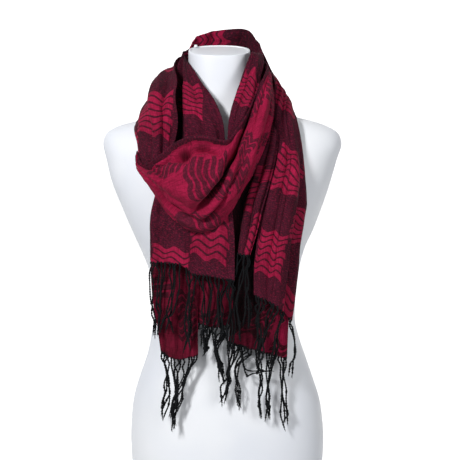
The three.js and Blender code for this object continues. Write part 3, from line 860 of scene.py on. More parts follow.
@dataclass
class Fringe:
    """A fringe of twisted strands along one hem of the shawl.

    at_end is true where it hangs from the ribbon's last hem, and false where it hangs from its first.
    strand is how thick a strand is, steps how many rings it has and sides how many corners a ring has.
    """

    name: str
    ribbon: Ribbon
    at_end: bool
    bundles: tuple[Bundle, ...]
    seed: int
    depth: float = 0.0  # how far behind its hem it hangs, below zero in front of it
    layer: float = 2.8  # how far apart its strands hang, front to back
    rooted: float = 2.0  # how far above the hem a strand starts
    straight: float = 8.0  # how far below the hem it still hangs straight
    strand: float = 3.5
    steps: int = 48
    sides: int = 5
    twist: float = 8.5  # from one turn of the two yarns to the next
    uneven_meet: float = 14.0  # how unevenly high the strands of a bundle meet
    uneven_tip: float = 15.0  # how unevenly low they end
    sway: float = 6.0  # how far a strand wanders aside
    nod: float = 3.0  # how far it wanders forward and back
    hairs: int = 4  # at each tip

    def hem_point(self, across: float) -> np.ndarray:
        """Give the point of the hem at a place across the cloth, in millimetres."""
        row = self.ribbon.hem_row(self.at_end, across)
        return self.ribbon.folded(np.array([[row]]), np.array([across]))[0, 0]

    def line(self, bundle: Bundle, number: int, serial: int) -> np.ndarray:
        """Draw the middle of one strand.

        Args:
            bundle: The bundle that it hangs in.
            number: Its number in the bundle.
            serial: Its number in the whole fringe.

        Returns:
            Points from root to tip, in millimetres.
        """
        share = (number + 0.5) / bundle.count
        across = bundle.first + (bundle.last - bundle.first) * share
        root = self.hem_point(across)
        meet_x, meet_z = in_view(*bundle.meet)
        tip_x, tip_z = in_view(*bundle.tip)
        # this strand's own draws, each from -0.5 to 0.5
        chance = [scatter(serial + 17 * self.seed, k) - 0.5 for k in range(9)]
        meet_x += 2 * chance[0] * bundle.spread
        meet_z += self.uneven_meet * chance[1]
        tip_x += 2 * chance[2] * bundle.splay
        tip_z += self.uneven_tip * chance[3]
        deep = root[1] + self.depth + ((serial % 3) - 1) * self.layer
        marks = np.array([
            [root[0], root[1], root[2] + self.rooted],
            [root[0] + 2 * chance[4], root[1] * 0.6 + deep * 0.4, root[2] - self.straight],
            [root[0] * 0.66 + meet_x * 0.34 + 7 * chance[5], deep, root[2] * 0.56 + meet_z * 0.44],
            [meet_x, deep, meet_z],
            [meet_x * 0.5 + tip_x * 0.5 + 9 * chance[6], deep + 3 * chance[7], (meet_z + tip_z) / 2],
            [tip_x, deep + 5 * chance[8], tip_z],
        ])
        line = through(marks, np.linspace(0, len(marks) - 1, self.steps))
        run = np.linspace(0, 1, self.steps)
        sway = wander(np.full(self.steps, serial * 1.7), run * 7, 40 + self.seed)
        nod = wander(np.full(self.steps, serial * 2.3), run * 6, 60 + self.seed)
        fade = np.clip(run * 6, 0, 1)
        return line + np.stack([sway * self.sway * fade, nod * self.nod * fade, 0 * sway], 1)

    def ply(self, shape: bmesh.types.BMesh, line: np.ndarray, begin: float) -> None:
        """Roll a grid into one of a strand's two yarns, which winds round the strand's middle.

        Args:
            shape: The mesh to add it to.
            line: The middle of the strand.
            begin: The angle at which this yarn starts.
        """
        steps = np.linalg.norm(np.diff(line, axis=0), axis=1)
        run = np.concatenate([[0.0], np.cumsum(steps)])
        turn = begin + 2 * math.pi * run / self.twist
        yarn = self.strand * 0.29
        middle = line + np.stack([np.cos(turn), np.sin(turn), 0 * turn], 1) * yarn * 0.8
        forth = np.gradient(line, axis=0)
        forth /= np.linalg.norm(forth, axis=1, keepdims=True)
        aside = np.cross(forth, (0.0, 1.0, 0.0))
        aside /= np.linalg.norm(aside, axis=1, keepdims=True)
        third = np.cross(forth, aside)
        made = bmesh.ops.create_grid(shape, x_segments=len(line) - 1, y_segments=self.sides, size=0.5)
        flat = np.array([v.co for v in made["verts"]]) + 0.5
        at = np.round(flat[:, 0] * (len(line) - 1)).astype(int)
        angle = flat[:, 1] * 2 * math.pi
        ring = aside[at] * np.cos(angle)[:, None] + third[at] * np.sin(angle)[:, None]
        for vertex, point in zip(made["verts"], (middle[at] + ring * yarn).tolist()):
            vertex.co = point
        bmesh.ops.remove_doubles(shape, verts=made["verts"], dist=0.001)

    def knot(self, shape: bmesh.types.BMesh, centre: Vector, size: float) -> None:
        """Tie a small knot, a squashed bead."""
        turn = Matrix.Translation(centre) @ Matrix.Diagonal((1.0, 1.0, 1.25, 1.0))
        bmesh.ops.create_icosphere(shape, subdivisions=1, radius=size, matrix=turn)

    def tuft(self, shape: bmesh.types.BMesh, line: np.ndarray, serial: int) -> None:
        """Fray a strand's end into a few short hairs.

        Args:
            shape: The mesh to add them to.
            line: The middle of the strand.
            serial: The strand's number in the whole fringe.
        """
        tip, before = Vector(line[-1]), Vector(line[-3])
        down = (tip - before).normalized()
        for hair in range(self.hairs):
            angle = 1.57 * hair + serial
            lean = (down + Vector((math.cos(angle), math.sin(angle), 0)) * 0.2).normalized()
            length = 5.0 + 4.0 * scatter(serial, 8 + hair)
            turn = lean.to_track_quat("Z", "Y").to_matrix().to_4x4()
            place = Matrix.Translation(tip + lean * (length / 2 - 1.0)) @ turn
            bmesh.ops.create_cone(shape, cap_ends=True, segments=4, radius1=0.62, radius2=0.12,
                                  depth=length, matrix=place)

    def build(self, yarn: bpy.types.Material) -> bpy.types.Object:
        """Make the fringe, dress it and fix it to the frame.

        Args:
            yarn: The yarn's finish.

        Returns:
            The finished piece.
        """
        shape = bmesh.new()
        serial = 0
        for bundle in self.bundles:
            for number in range(bundle.count):
                line = self.line(bundle, number, serial)
                for begin in (0.0, math.pi):
                    self.ply(shape, line, begin + serial)
                self.knot(shape, Vector(line[2]), self.strand * 0.62)
                knot = int(self.steps * (0.8 + 0.1 * scatter(serial, 9)))
                self.knot(shape, Vector(line[knot]), self.strand * 0.72)
                if scatter(serial, 10) > 0.45:
                    self.knot(shape, Vector(line[int(self.steps * 0.62)]), self.strand * 0.66)
                self.tuft(shape, line, serial)
                serial += 1
        bmesh.ops.scale(shape, verts=shape.verts, vec=(MM, MM, MM))
        bmesh.ops.recalc_face_normals(shape, faces=shape.faces)
        for face in shape.faces:
            face.smooth = True
        piece = stand(shape, self.name + "_strands")
        piece.data.materials.append(yarn)
        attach(piece, "root")
        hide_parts(self.name)
        LOG.info("tied %s, %d strands", self.name, serial)
        return piece


@dataclass(frozen=True)
class Level:
    """The form's plan at one height, and how its plane slants towards the back.

    centre is where the plan's middle lies in x, half is half its width, and front and back are how far
    it reaches each way.
    """

    height: float
    centre: float
    half: float
    front: float
    back: float
    slant: float = 0.0


@dataclass
class DressForm:
    """The smooth limbless form that the shawl rests on."""

    levels: tuple[Level, ...]
    squareness: float = 2.3  # 2 gives an ellipse, and more a squarer plan
    sides: int = 112
    rings: int = 120
    inset: float = 0.35  # how far inside its levels the shell lies, clear of the cloth
    peg_at: Point = (-50.0, 29.0, 713.0)
    peg_steps: tuple[tuple[float, float], ...] = ((3.4, 3.0), (2.3, 4.2))  # radius and height

    def rows(self) -> np.ndarray:
        """Work out the plan at evenly spaced rings.

        Returns:
            A ring on each line, with its values in a level's order.
        """
        table = np.array([[s.height, s.centre, s.half, s.front, s.back, s.slant] for s in self.levels])
        places = np.linspace(0, len(table) - 1, self.rings)
        rings = through(table, places)
        rings[:, 0] = np.maximum(rings[:, 0], table[0, 0])
        return rings

    def ring(self, row: np.ndarray) -> list[Vector]:
        """Work out one ring's points.

        Args:
            row: The ring's values, in a level's order.

        Returns:
            Points in metres, from +X towards +Y.
        """
        height, centre, half, front, back, slant = row
        points = []
        for k in range(self.sides):
            angle = 2 * math.pi * k / self.sides
            x, y = (math.copysign(abs(v) ** (2 / self.squareness), v)
                    for v in (math.cos(angle), math.sin(angle)))
            x = centre + (half - self.inset) * x
            y = ((front if y < 0 else back) - self.inset) * y
            points.append(Vector((x, y, height + slant * y)) * MM)
        return points

    def build(self, shell: bpy.types.Material) -> bpy.types.Object:
        """Make the form ring by ring, dress it and fix it to the frame.

        Args:
            shell: The shell's finish.

        Returns:
            The finished piece.
        """
        shape = bmesh.new()
        rows = self.rows()
        made = bmesh.ops.create_circle(shape, segments=self.sides, radius=0.1, cap_ends=True)
        edges = list(shape.edges)
        ordered = self.in_order(made["verts"])
        for vertex, point in zip(ordered, self.ring(rows[0])):
            vertex.co = point
        for row in rows[1:]:
            grown = bmesh.ops.extrude_edge_only(shape, edges=edges)["geom"]
            edges = [e for e in grown if isinstance(e, bmesh.types.BMEdge)]
            fresh = {v for v in grown if isinstance(v, bmesh.types.BMVert)}
            ordered = [next(e.other_vert(v) for e in v.link_edges if e.other_vert(v) in fresh)
                       for v in ordered]
            for vertex, point in zip(ordered, self.ring(row)):
                vertex.co = point
            edges = [e for e in edges if e.verts[0] in fresh and e.verts[1] in fresh]
        bmesh.ops.contextual_create(shape, geom=edges)
        self.peg(shape)
        bmesh.ops.recalc_face_normals(shape, faces=shape.faces)
        for face in shape.faces:
            face.smooth = len(face.verts) == 4
        piece = stand(shape, "dress_form_shell")
        piece.data.materials.append(shell)
        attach(piece, "root")
        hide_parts("dress_form")
        LOG.info("moulded the dress form")
        return piece

    def peg(self, shape: bmesh.types.BMesh) -> None:
        """Set a small stepped peg on the neck's rim, at the left rear.

        Args:
            shape: The form's mesh.
        """
        for radius, height in self.peg_steps:
            place = Matrix.Translation((Vector(self.peg_at) + Vector((0.0, 0.0, height / 2))) * MM)
            bmesh.ops.create_cone(shape, cap_ends=True, segments=24, radius1=radius * MM,
                                  radius2=radius * 0.8 * MM, depth=height * MM, matrix=place)

    def in_order(self, verts: list[bmesh.types.BMVert]) -> list[bmesh.types.BMVert]:
        """Put a circle's vertices in order of their angle, from +X towards +Y."""
        return sorted(verts, key=lambda v: math.atan2(v.co.y, v.co.x) % (2 * math.pi) if
                      abs(math.atan2(v.co.y, v.co.x)) > 1e-6 else 0.0)


def form_levels() -> tuple[Level, ...]:
    """Describe the dress form.

    Returns:
        Its levels, from the base to the neck's sunk top.
    """
    return (
        Level(0, 2, 152, 92, 98), Level(6, 2, 156, 95, 101), Level(66, 2, 160, 95, 106),
        Level(124, 1, 156, 93, 108), Level(165, 0, 145, 90, 100), Level(206, 0, 131, 86, 88),
        Level(239, -2, 122, 84, 78), Level(272, -3, 117, 84, 72), Level(338, -3, 122, 92, 76),
        Level(383, -6, 136, 104, 86), Level(414, -6, 150, 110, 94), Level(459, -7, 168, 111, 100),
        Level(495, -8, 181, 104, 102), Level(530, -7, 190, 90, 98), Level(550, -6, 196, 79, 92),
        Level(564, -6, 195, 72, 86), Level(575, -6, 188, 66, 80), Level(584, -6, 172, 62, 76),
        Level(591, -3, 150, 60, 73), Level(598, -3, 122, 58, 70), Level(606, -5, 99, 57, 67),
        Level(618, -8, 79, 54, 62), Level(634, -10, 65, 52, 56, 0.02), Level(655, -11, 55, 50, 52, 0.05),
        Level(680, -11, 51.5, 50, 50, 0.1), Level(705, -11, 51, 50, 50, 0.145),
        Level(708, -11, 50, 49, 49, 0.155), Level(708.4, -11, 47.5, 46.5, 46.5, 0.155),
        Level(707, -11, 46.5, 45.5, 45.5, 0.155), Level(707, -11, 44, 43, 43, 0.155),
    )


def inner_turn() -> Ribbon:
    """Describe the turn that rises from the left hem, passes behind the neck and ends at the V.

    Returns:
        The stretch.
    """
    sections = (
        Section((14, -129, 345), (-55, -127, 356), (-121, -121, 371), -5, 131.5, None, -9, 12),
        Section((14, -130, 407), (-55, -131, 407), (-121, -121, 407), -5, 131.5, None, -9, 12),
        Section((11, -129, 449), (-55, -131, 449), (-120, -121, 447), -5, 131.5),
        Section((7, -121, 503), (-52, -121, 503), (-107, -107, 503), 12, 128),
        Section((0, -106, 550), (-50, -110, 550), (-97, -90, 549), 67, 134, None, -12, 44),
        Section((-5, -92, 595), (-52, -103, 592), (-94, -78, 591), 67, 138, None, -12, 48),
        Section((-19, -80, 630), (-56, -88, 627), (-90, -64, 625), 67, 138, None, -12, 30),
        Section((-38, -66, 655), (-62, -69, 653), (-86, -49, 649), 66, 136, None, -12, 10),
        Section((-53, -46, 677), (-68, -48, 675), (-80, -30, 673), 68, 130),
        Section((-62.4, -13, 690), (-69, -13, 696), (-72, -9, 701), 72, 124),
        Section((-66, 22, 694), (-66, 22, 702), (-64, 20, 709), 72, 124),
        Section((-49, 50, 696), (-48, 52, 714), (-45, 50, 732), 72, 126),
        Section((-12, 60, 698), (-10, 66, 719), (-8, 64, 741), 72, 126),
        Section((27, 54, 690), (30, 60, 719), (34, 58, 741), 72, 126),
        Section((46, 18, 680), (53, 20, 702), (57, 20, 714), 72, 124),
        Section((42, -34, 706), (52, -33, 698), (61, -30, 688), 70, 118),
        Section((29, -62, 674), (43, -69, 670), (55, -65, 661), 70, 124, None, -10, 4),
        Section((18, -78, 642), (35, -89, 637), (50, -90, 628), 70, 122, None, -10, 4),
        Section((9, -91, 614), (23, -104, 609), (36, -109, 600), 72, 124),
        Section((5, -102, 588), (14, -115, 584), (22, -121, 577), 76, 124),
        Section((3, -112, 562), (7, -122, 560), (10, -128, 555), 80, 122),
    )
    creases = (
        Crease(((-1, 0.16), (1.5, 0.19), (4, 0.22)), 0.09, 4),
        Crease(((-1, 0.42), (3.6, 0.5)), 0.08, -4.5, 1.6),
        Crease(((-1, 0.74), (4, 0.66)), 0.1, 4.5),
        Crease(((-1, 0.06), (3.8, 0.08)), 0.04, -3, 1.5),
        Crease(((0.2, 0.3), (2.6, 0.33)), 0.035, -2.4, 1.5),
        Crease(((-0.6, 0.58), (3, 0.6)), 0.04, 2.4, 1.6),
        Crease(((-0.4, 0.88), (3.0, 0.87)), 0.045, -3.4, 1.5),
        Crease(((0.0, 0.95), (3.0, 0.95)), 0.03, 2.4),
        Crease(((2.6, 0.84), (5, 0.85), (6.4, 0.84), (7.6, 0.78), (9.0, 0.64)), 0.09, -24, 1.7),
        Crease(((3.4, 0.6), (5.4, 0.62), (7.0, 0.58), (8.4, 0.5)), 0.09, 4),
        Crease(((4.4, 0.36), (6.2, 0.36), (7.8, 0.3)), 0.06, -3.4, 1.6),
        Crease(((3.4, 0.06), (4.6, 0.16), (5.8, 0.3)), 0.035, 3, 1.6),
        Crease(((3.4, 0.2), (4.6, 0.3), (5.6, 0.42)), 0.04, -3.6, 1.5),
        Crease(((6.2, 0.98), (7.4, 0.92), (8.8, 0.88)), 0.06, 5),
        Crease(((6.6, 0.5), (7.8, 0.46), (9.0, 0.4)), 0.05, 3.5, 1.6),
        Crease(((7.0, 0.62), (8.2, 0.6), (9.4, 0.56)), 0.06, -5, 1.5),
        Crease(((15.2, 0.6), (17.5, 0.66), (20.4, 0.66)), 0.12, 4),
        Crease(((15.0, 0.3), (17, 0.26), (20.6, 0.3)), 0.07, -4, 1.6),
        Crease(((12.8, 0.55), (14.4, 0.5), (16, 0.5)), 0.12, 3),
        Flute(9.4, 0.2, 0.16, -3.4), Flute(9.9, 0.3, 0.18, 3.6), Flute(10.6, 0.3, 0.16, -4.6),
        Flute(11.2, 0.1, 0.2, 4.0), Flute(11.75, -0.1, 0.13, -5.0), Flute(12.3, 0.1, 0.2, 4.0),
        Flute(12.75, 0.1, 0.13, -5.0), Flute(13.3, 0.2, 0.2, 3.4), Flute(13.8, 0.0, 0.12, -4.0),
    )
    return Ribbon("inner_turn", sections, creases, 1,
                  ("left_tail_front", "left_neck_fold", "neck_back_band", "right_neck_fold"),
                  Face.WINE, "wine_cloth", steps_along=440, steps_across=90, start_along=-28.0,
                  same_inside=True,
                  ease=((1.2, 0.0), (2.4, -14.0), (4.0, -14.0), (5.4, 0.0), (7.2, 20.0), (8.5, 20.0),
                        (10.5, -22.0), (12.2, -22.0), (16.1, -137.0), (17.8, -115.0)),
                  bare=((4.0, 0.0), (4.4, 0.32), (5.4, 0.31), (5.8, 0.27), (6.6, 0.13), (7.2, 0.1),
                        (7.5, 0.0)),
                  # painted shade: beside and behind the neck, and the valley by the left shoulder fold
                  painted_shade_hollows=(
                      Crease(((11.9, 0.5), (14.3, 0.5)), 3.0, 0.5),
                      Crease(((8.5, 0.5), (9.9, 0.5)), 1.5, 0.4),
                      Crease(((3.0, 0.87), (5.8, 0.86), (8.6, 0.8)), 0.085, 0.65, 3.0)),
                  first_hem=((0.0, -0.05), (0.3, -0.03), (0.5, -0.08), (0.55, 0.08), (0.64, 0.2),
                             (0.82, 0.12), (1.0, 0.0)))


def outer_turn() -> Ribbon:
    """Describe the turn that rises under the front loop, rounds the back and falls to the right hem.

    Returns:
        The stretch.
    """
    sections = (
        Section((-88, -122, 518), (-114, -108, 517), (-139, -78, 519), -2, 73, None, -16, 12),
        Section((-83, -107, 563), (-112, -112, 560), (-142, -77, 556), -2, 73, None, -16, 12),
        Section((-80, -104, 598), (-114, -114, 592), (-147, -70, 577), -3, 73, None, -16, 12),
        Section((-80, -93, 630), (-118, -92, 622), (-148, -46, 586), -3, 76, None, -16, 12),
        Section((-76, -76, 657), (-116, -61, 643), (-142, -22, 594), -3, 92),
        Section((-80, -44, 678), (-109, -22, 659), (-132, 8, 600), 0, 116),
        Section((-78, 0, 692), (-91, 20, 668), (-118, 40, 603), 0, 118),
        Section((-64, 34, 705), (-76, 64, 664), (-96, 74, 594), 0, 134),
        Section((-40, 64, 728), (-50, 98, 672), (-60, 88, 592), 0, 152),
        Section((0, 80, 738), (0, 112, 670), (0, 90, 590), 0, 160),
        Section((34, 75, 741), (50, 102, 674), (60, 88, 594), 0, 160),
        Section((50, 50, 721), (69, 80, 668), (90, 75, 596), 0, 150),
        Section((66, 14, 689), (82, 34, 651), (105, 42, 601), 0, 116),
        Section((79, -28, 652), (101, -20, 636), (112, 8, 602), 0, 92),
        Section((71, -58, 612), (99, -66, 605), (115, -54, 593), -14, 74, 26, -18, 6),
        Section((71, -78, 569), (103, -93, 565), (124, -73, 541), -18, 72, 26, -18, 6),
        Section((78, -98, 535), (106, -108, 530), (128, -82, 500), -3, 74, 36, -18, 6),
        Section((68, -111, 497), (101, -121, 492), (130, -86, 462), -2, 88, 44, -12, 6),
        Section((57, -119, 450), (93, -129, 445), (125, -89, 430), 0, 108, None, -8, 8),
        Section((50, -124, 405), (86, -132, 402), (119, -90, 391), 0, 108, None, -8, 8),
        Section((45, -126, 363), (82, -130, 358), (115, -94, 345), 0, 106, None, -8, 8),
        Section((45, -124, 319), (77, -126, 303), (106, -97, 274), 0, 104, None, -8, 8),
    )
    creases = (
        Crease(((0, 0.3), (2.8, 0.27), (5.5, 0.24)), 0.07, -9, 1.7),
        Crease(((1.5, 0.5), (4, 0.52), (8, 0.5)), 0.12, 6),
        Crease(((0.2, 0.0), (3, 0.01), (6.4, 0.0)), 0.06, 6),
        Crease(((-0.6, -0.02), (1.5, -0.02), (3.6, 0.0)), 0.05, 7),
        Crease(((0.0, 0.66), (2.0, 0.6), (4.6, 0.66)), 0.05, -5, 1.5),
        Crease(((1.2, 0.84), (3, 0.78), (5.5, 0.82)), 0.06, 4),
        Crease(((3.4, 0.34), (4.8, 0.4), (6.4, 0.36)), 0.04, 4, 1.6),
        Crease(((4.4, 0.18), (5.6, 0.16), (7.0, 0.2)), 0.05, -6, 1.5),
        Crease(((6, 0.28), (13, 0.3)), 0.075, -12, 1.7),
        Crease(((6.4, 0.55), (12.6, 0.52)), 0.09, 8),
        Crease(((6, 0.78), (13.4, 0.76)), 0.06, -11, 1.6),
        Crease(((7, 0.42), (9.5, 0.4), (12, 0.44)), 0.035, -5, 1.5),
        Crease(((6.6, 0.66), (9, 0.68), (11.6, 0.64)), 0.035, 4.4, 1.6),
        Crease(((7.4, 0.14), (10, 0.12), (12.8, 0.17)), 0.05, 5),
        Crease(((8, 0.9), (10.4, 0.92), (13, 0.88)), 0.04, 4.4),
        Crease(((13, 0.34), (17, 0.32), (22, 0.3)), 0.06, -7, 1.6),
        Crease(((14, 0.6), (18, 0.62), (22, 0.6)), 0.1, 5.5),
        Crease(((14.5, 0.1), (18, 0.14), (21.8, 0.13)), 0.06, 4.4),
        Crease(((14.6, 0.46), (17.5, 0.48), (21.2, 0.44)), 0.035, -3.2, 1.5),
        Crease(((15.2, 0.82), (18.5, 0.78), (21.9, 0.8)), 0.045, -5, 1.5),
        Crease(((17, 0.7), (19, 0.68), (21.9, 0.72)), 0.03, 2.4, 1.6),
        Crease(((12.2, 0.5), (14.2, 0.5), (15.8, 0.56)), 0.07, -7, 1.6),
        Crease(((12.4, 0.2), (13.8, 0.22), (15.0, 0.2)), 0.06, 4),
        Crease(((15.6, 0.92), (18, 0.93), (21, 0.93)), 0.04, 3),
    )
    return Ribbon("outer_turn", sections, creases, 1,
                  ("left_shoulder_fold", "back_loop", "right_tail_front"),
                  Face.WINE, "wine_cloth", steps_along=490, steps_across=98, start_along=-95.5,
                  same_inside=True,
                  ease=((0.0, 38.0), (5.0, 38.0), (13.0, 0.0), (18.0, 0.0), (19.0, 11.0)))


def front_loop() -> Ribbon:
    """Describe the loop that sweeps down across the chest, with the cloth's crimson face outwards.

    Returns:
        The stretch.
    """
    sections = (
        Section((63, 2, 690), (68, 6, 672), (72, 8, 655), 134, 190, 160),
        Section((66, -40, 682), (73, -43, 660), (77, -38, 636), 134, 190, 160),
        Section((58, -79, 662), (70, -86, 634), (76, -78, 606), 118, 181, 148),
        Section((46, -102, 634), (61, -112, 604), (70, -100, 580), 105, 196, 150),
        Section((31, -121, 605), (49, -133, 574), (57, -114, 546), 96, 290, 196),
        Section((16, -133, 583), (34, -149, 545), (43, -126, 514), 100, 280, 196),
        Section((3, -140, 568), (19, -159, 522), (27, -130, 488), 60, 250, 142),
        Section((-16, -144, 568), (2, -168, 506), (9, -134, 455), 48, 176, 104, 20),
        Section((-35, -145, 573), (-22, -174, 498), (-18, -136, 428), 48, 173, 100, 75),
        Section((-57, -142, 571), (-52, -174, 490), (-49, -136, 422), 48, 170, 98, 75),
        Section((-78, -136, 561), (-79, -166, 495), (-75, -134, 434), 16, 160, 87, 40),
        Section((-95, -126, 546), (-101, -150, 498), (-99, -130, 458), 30, 73, 70),
        Section((-112, -118, 533), (-119, -136, 510), (-119, -120, 488), 40, 73, 62),
        Section((-127, -104, 525), (-134, -112, 518), (-133, -106, 507), 45, 68, 57),
        Section((-139, -91, 532), (-143, -96, 525), (-140, -98, 518), 46, 62, 54),
        Section((-144, -82, 547), (-145, -88, 540), (-143, -90, 534), 46, 60, 54),
    )
    creases = (
        Crease(((2.0, 0.03), (3.5, 0.05), (4.5, 0.12), (5.4, 0.2), (6.4, 0.3), (6.85, 0.38), (7.4, 0.5)),
               0.05, -15, 1.5),
        Crease(((3.0, 0.04), (4.5, 0.12), (5.4, 0.2), (6.4, 0.3), (6.85, 0.38), (7.2, 0.49), (7.76, 0.58),
                (8.2, 0.66), (9.0, 0.76)), 0.03, -26, 2.4),
        Crease(((5.4, 0.21), (6.4, 0.3), (6.85, 0.38), (7.2, 0.49), (7.76, 0.58), (8.2, 0.66), (9.2, 0.78)),
               0.085, -20, 1.6),
        Crease(((4.6, 0.27), (6.0, 0.37), (6.9, 0.5), (7.6, 0.66), (8.3, 0.77), (9.4, 0.88)), 0.06, 8),
        Crease(((6.6, 0.24), (7.1, 0.34), (7.8, 0.46), (8.4, 0.57), (9.4, 0.64)), 0.06, 6),
        Crease(((2.0, 0.02), (8.0, 0.015), (15.0, 0.02)), 0.018, 2.6),
        Crease(((3.0, 0.065), (8.0, 0.06), (14.0, 0.07)), 0.02, -3.6, 1.5),
        Crease(((0.6, 0.24), (2.1, 0.34), (3.95, 0.46), (5.55, 0.62), (6.7, 0.74), (7.9, 0.86)), 0.13, 9),
        Crease(((3.0, 0.0), (5.0, 0.1), (6.4, 0.2), (7.4, 0.34), (8.2, 0.5)), 0.07, 7),
        Crease(((1.0, 0.66), (3.4, 0.74), (5.4, 0.86)), 0.04, -5, 1.5),
        Crease(((1.2, 0.2), (3.0, 0.24), (4.4, 0.36)), 0.035, -4, 1.5),
        Crease(((8.8, 0.12), (9.5, 0.17), (10.4, 0.16)), 0.05, -19, 1.8),
        Crease(((8.3, 0.24), (9.5, 0.29), (11.0, 0.27)), 0.07, 6),
        Crease(((7.0, 0.17), (8.0, 0.13), (9.0, 0.14)), 0.03, -14, 2.2),
        Crease(((6.4, 0.0), (8.4, 0.01), (10.4, 0.0), (13.0, 0.02)), 0.03, 4),
        Crease(((10.2, 0.12), (11.6, 0.16), (13.6, 0.2)), 0.04, -9, 1.8),
        Crease(((8.0, 0.9), (9.6, 0.83), (11.4, 0.76), (13.4, 0.64)), 0.04, -11, 1.8),
        Crease(((7.4, 0.96), (9.2, 0.92), (11.2, 0.86)), 0.045, 5),
        Crease(((10.2, 0.52), (12.2, 0.46), (14.4, 0.4)), 0.08, 6),
        Crease(((10.6, 0.68), (12.4, 0.62), (14.2, 0.62)), 0.05, -6, 1.6),
        Crease(((10.8, 0.32), (12.4, 0.28), (14.0, 0.3)), 0.05, -6, 1.6),
        Crease(((8.2, 0.44), (9.4, 0.56), (10.8, 0.66)), 0.09, 5),
        Crease(((9.0, 0.72), (10.2, 0.66), (11.6, 0.58)), 0.04, -4, 1.5),
        Crease(((7.0, 0.66), (7.9, 0.8), (8.8, 0.92)), 0.03, -9, 1.8),
        Crease(((5.2, 0.5), (6.4, 0.56), (7.4, 0.66)), 0.035, -4, 1.5),
    )
    return Ribbon("front_loop_cloth", sections, creases, 1, ("front_loop",), Face.CRIMSON,
                  "crimson_cloth", steps_along=320, steps_across=150, start_along=-34.9, rim=7.0,
                  ripple=0.9,
                  bare=((8.9, 0.0), (9.1, 0.26), (10.3, 0.21), (10.9, 0.15), (11.7, 0.12), (12.5, 0.09),
                        (13.0, 0.0)),
                  # painted shade: the notch under the rim, the shade below the rim and the main valley
                  painted_shade_hollows=(
                      Crease(((9.1, 0.13), (9.95, 0.13)), 0.035, 0.65),
                      Crease(((7.5, 0.08), (8.9, 0.09)), 0.028, 0.45),
                      Crease(((5.4, 0.2), (6.4, 0.3), (6.85, 0.38), (7.2, 0.49), (7.76, 0.58), (8.2, 0.66),
                              (8.9, 0.75)), 0.05, 0.93, 2.6)))


def right_middle() -> Ribbon:
    """Describe the gathered folds between the two hanging ends.

    Returns:
        The stretch.
    """
    sections = (
        Section((70, -87.4, 592), (76, -93.4, 588), (82, -93.4, 580), -8, -2),
        Section((60, -97, 560), (72, -105, 562), (82, -98, 560), -8, -2),
        Section((50, -105, 534), (66, -114, 534), (79, -108, 534), -8, -2),
        Section((40, -113, 497), (56, -124, 497), (70, -119, 497), 46, 73, 66),
        Section((30, -119, 459), (45, -130, 459), (59, -126, 459), 46, 98, 68),
        Section((24, -121, 420), (38, -132, 420), (50, -130, 421), 44, 100),
        Section((19, -121, 386), (29, -130, 383), (39, -129, 384), 44, 100),
    )
    creases = (
        Crease(((0.2, 0.42), (3, 0.36), (6.6, 0.4)), 0.08, -6, 1.6),
        Crease(((0.2, 0.72), (3, 0.68), (6.6, 0.72)), 0.1, 3.6),
        Crease(((1, 0.16), (3.5, 0.14), (6.6, 0.18)), 0.08, 3.2),
        Crease(((2, 0.56), (4, 0.54), (6.6, 0.56)), 0.035, 2.4, 1.5),
        Crease(((0.4, 0.88), (3, 0.86), (6.6, 0.88)), 0.05, -3, 1.5),
    )
    return Ribbon("right_middle_fold", sections, creases, 1, ("right_tail_middle",), Face.WINE,
                  "wine_cloth", steps_along=140, steps_across=48, start_along=-70.0,
                  same_inside=True, ripple=0.5,
                  # painted shade: the near edge, deep between the two ends, is painted dark
                  painted_shade_hollows=(Crease(((0.4, 0.0), (4.4, 0.0)), 0.22, 0.65),))


def right_back() -> Ribbon:
    """Describe the layer that hangs behind the right end, with its crimson face outwards.

    Returns:
        The stretch.
    """
    sections = (
        Section((22, -97, 560), (50, -90, 562), (75, -79, 564), -90, 96, 6),
        Section((24, -109.6, 500), (62, -102.6, 500), (96, -90.6, 500), -90, 104, 6),
        Section((24, -114.6, 424), (70, -110.6, 424), (112, -91.6, 424), -60, 112, -2),
        Section((18, -113, 358), (62, -111, 358), (106, -86, 355), -60, 112, -3),
        Section((10, -109, 293), (56, -106, 290), (101, -86, 281), -50, 112, 2),
        Section((4, -107, 241), (50, -105, 226), (98, -88, 211), 8, 112),
    )
    creases = (
        Crease(((0.4, 0.3), (6.2, 0.26)), 0.09, -5, 1.7),
        Crease(((0.4, 0.66), (6.2, 0.72)), 0.12, 4.5),
        Crease(((2.5, 0.5), (6.2, 0.48)), 0.045, -3.6, 1.5),
        Crease(((2.5, 0.12), (6.2, 0.1)), 0.05, 3.4),
        Crease(((2.5, 0.86), (6.2, 0.88)), 0.04, -3.4, 1.5),
        Crease(((3, 0.4), (6.2, 0.38)), 0.03, 2, 1.5),
        Crease(((3, 0.95), (6.2, 0.96)), 0.04, 2.4),
    )
    return Ribbon("right_back_layer", sections, creases, 1, ("right_tail_back",), Face.CRIMSON,
                  "crimson_cloth", steps_along=180, steps_across=76, start_along=-240.0,
                  # painted shade: the near part, in the shade of the right end, is painted nearly black
                  painted_shade_hollows=(Crease(((-0.5, 0.15), (6.6, 0.2)), 0.46, 0.85, 4.0),))


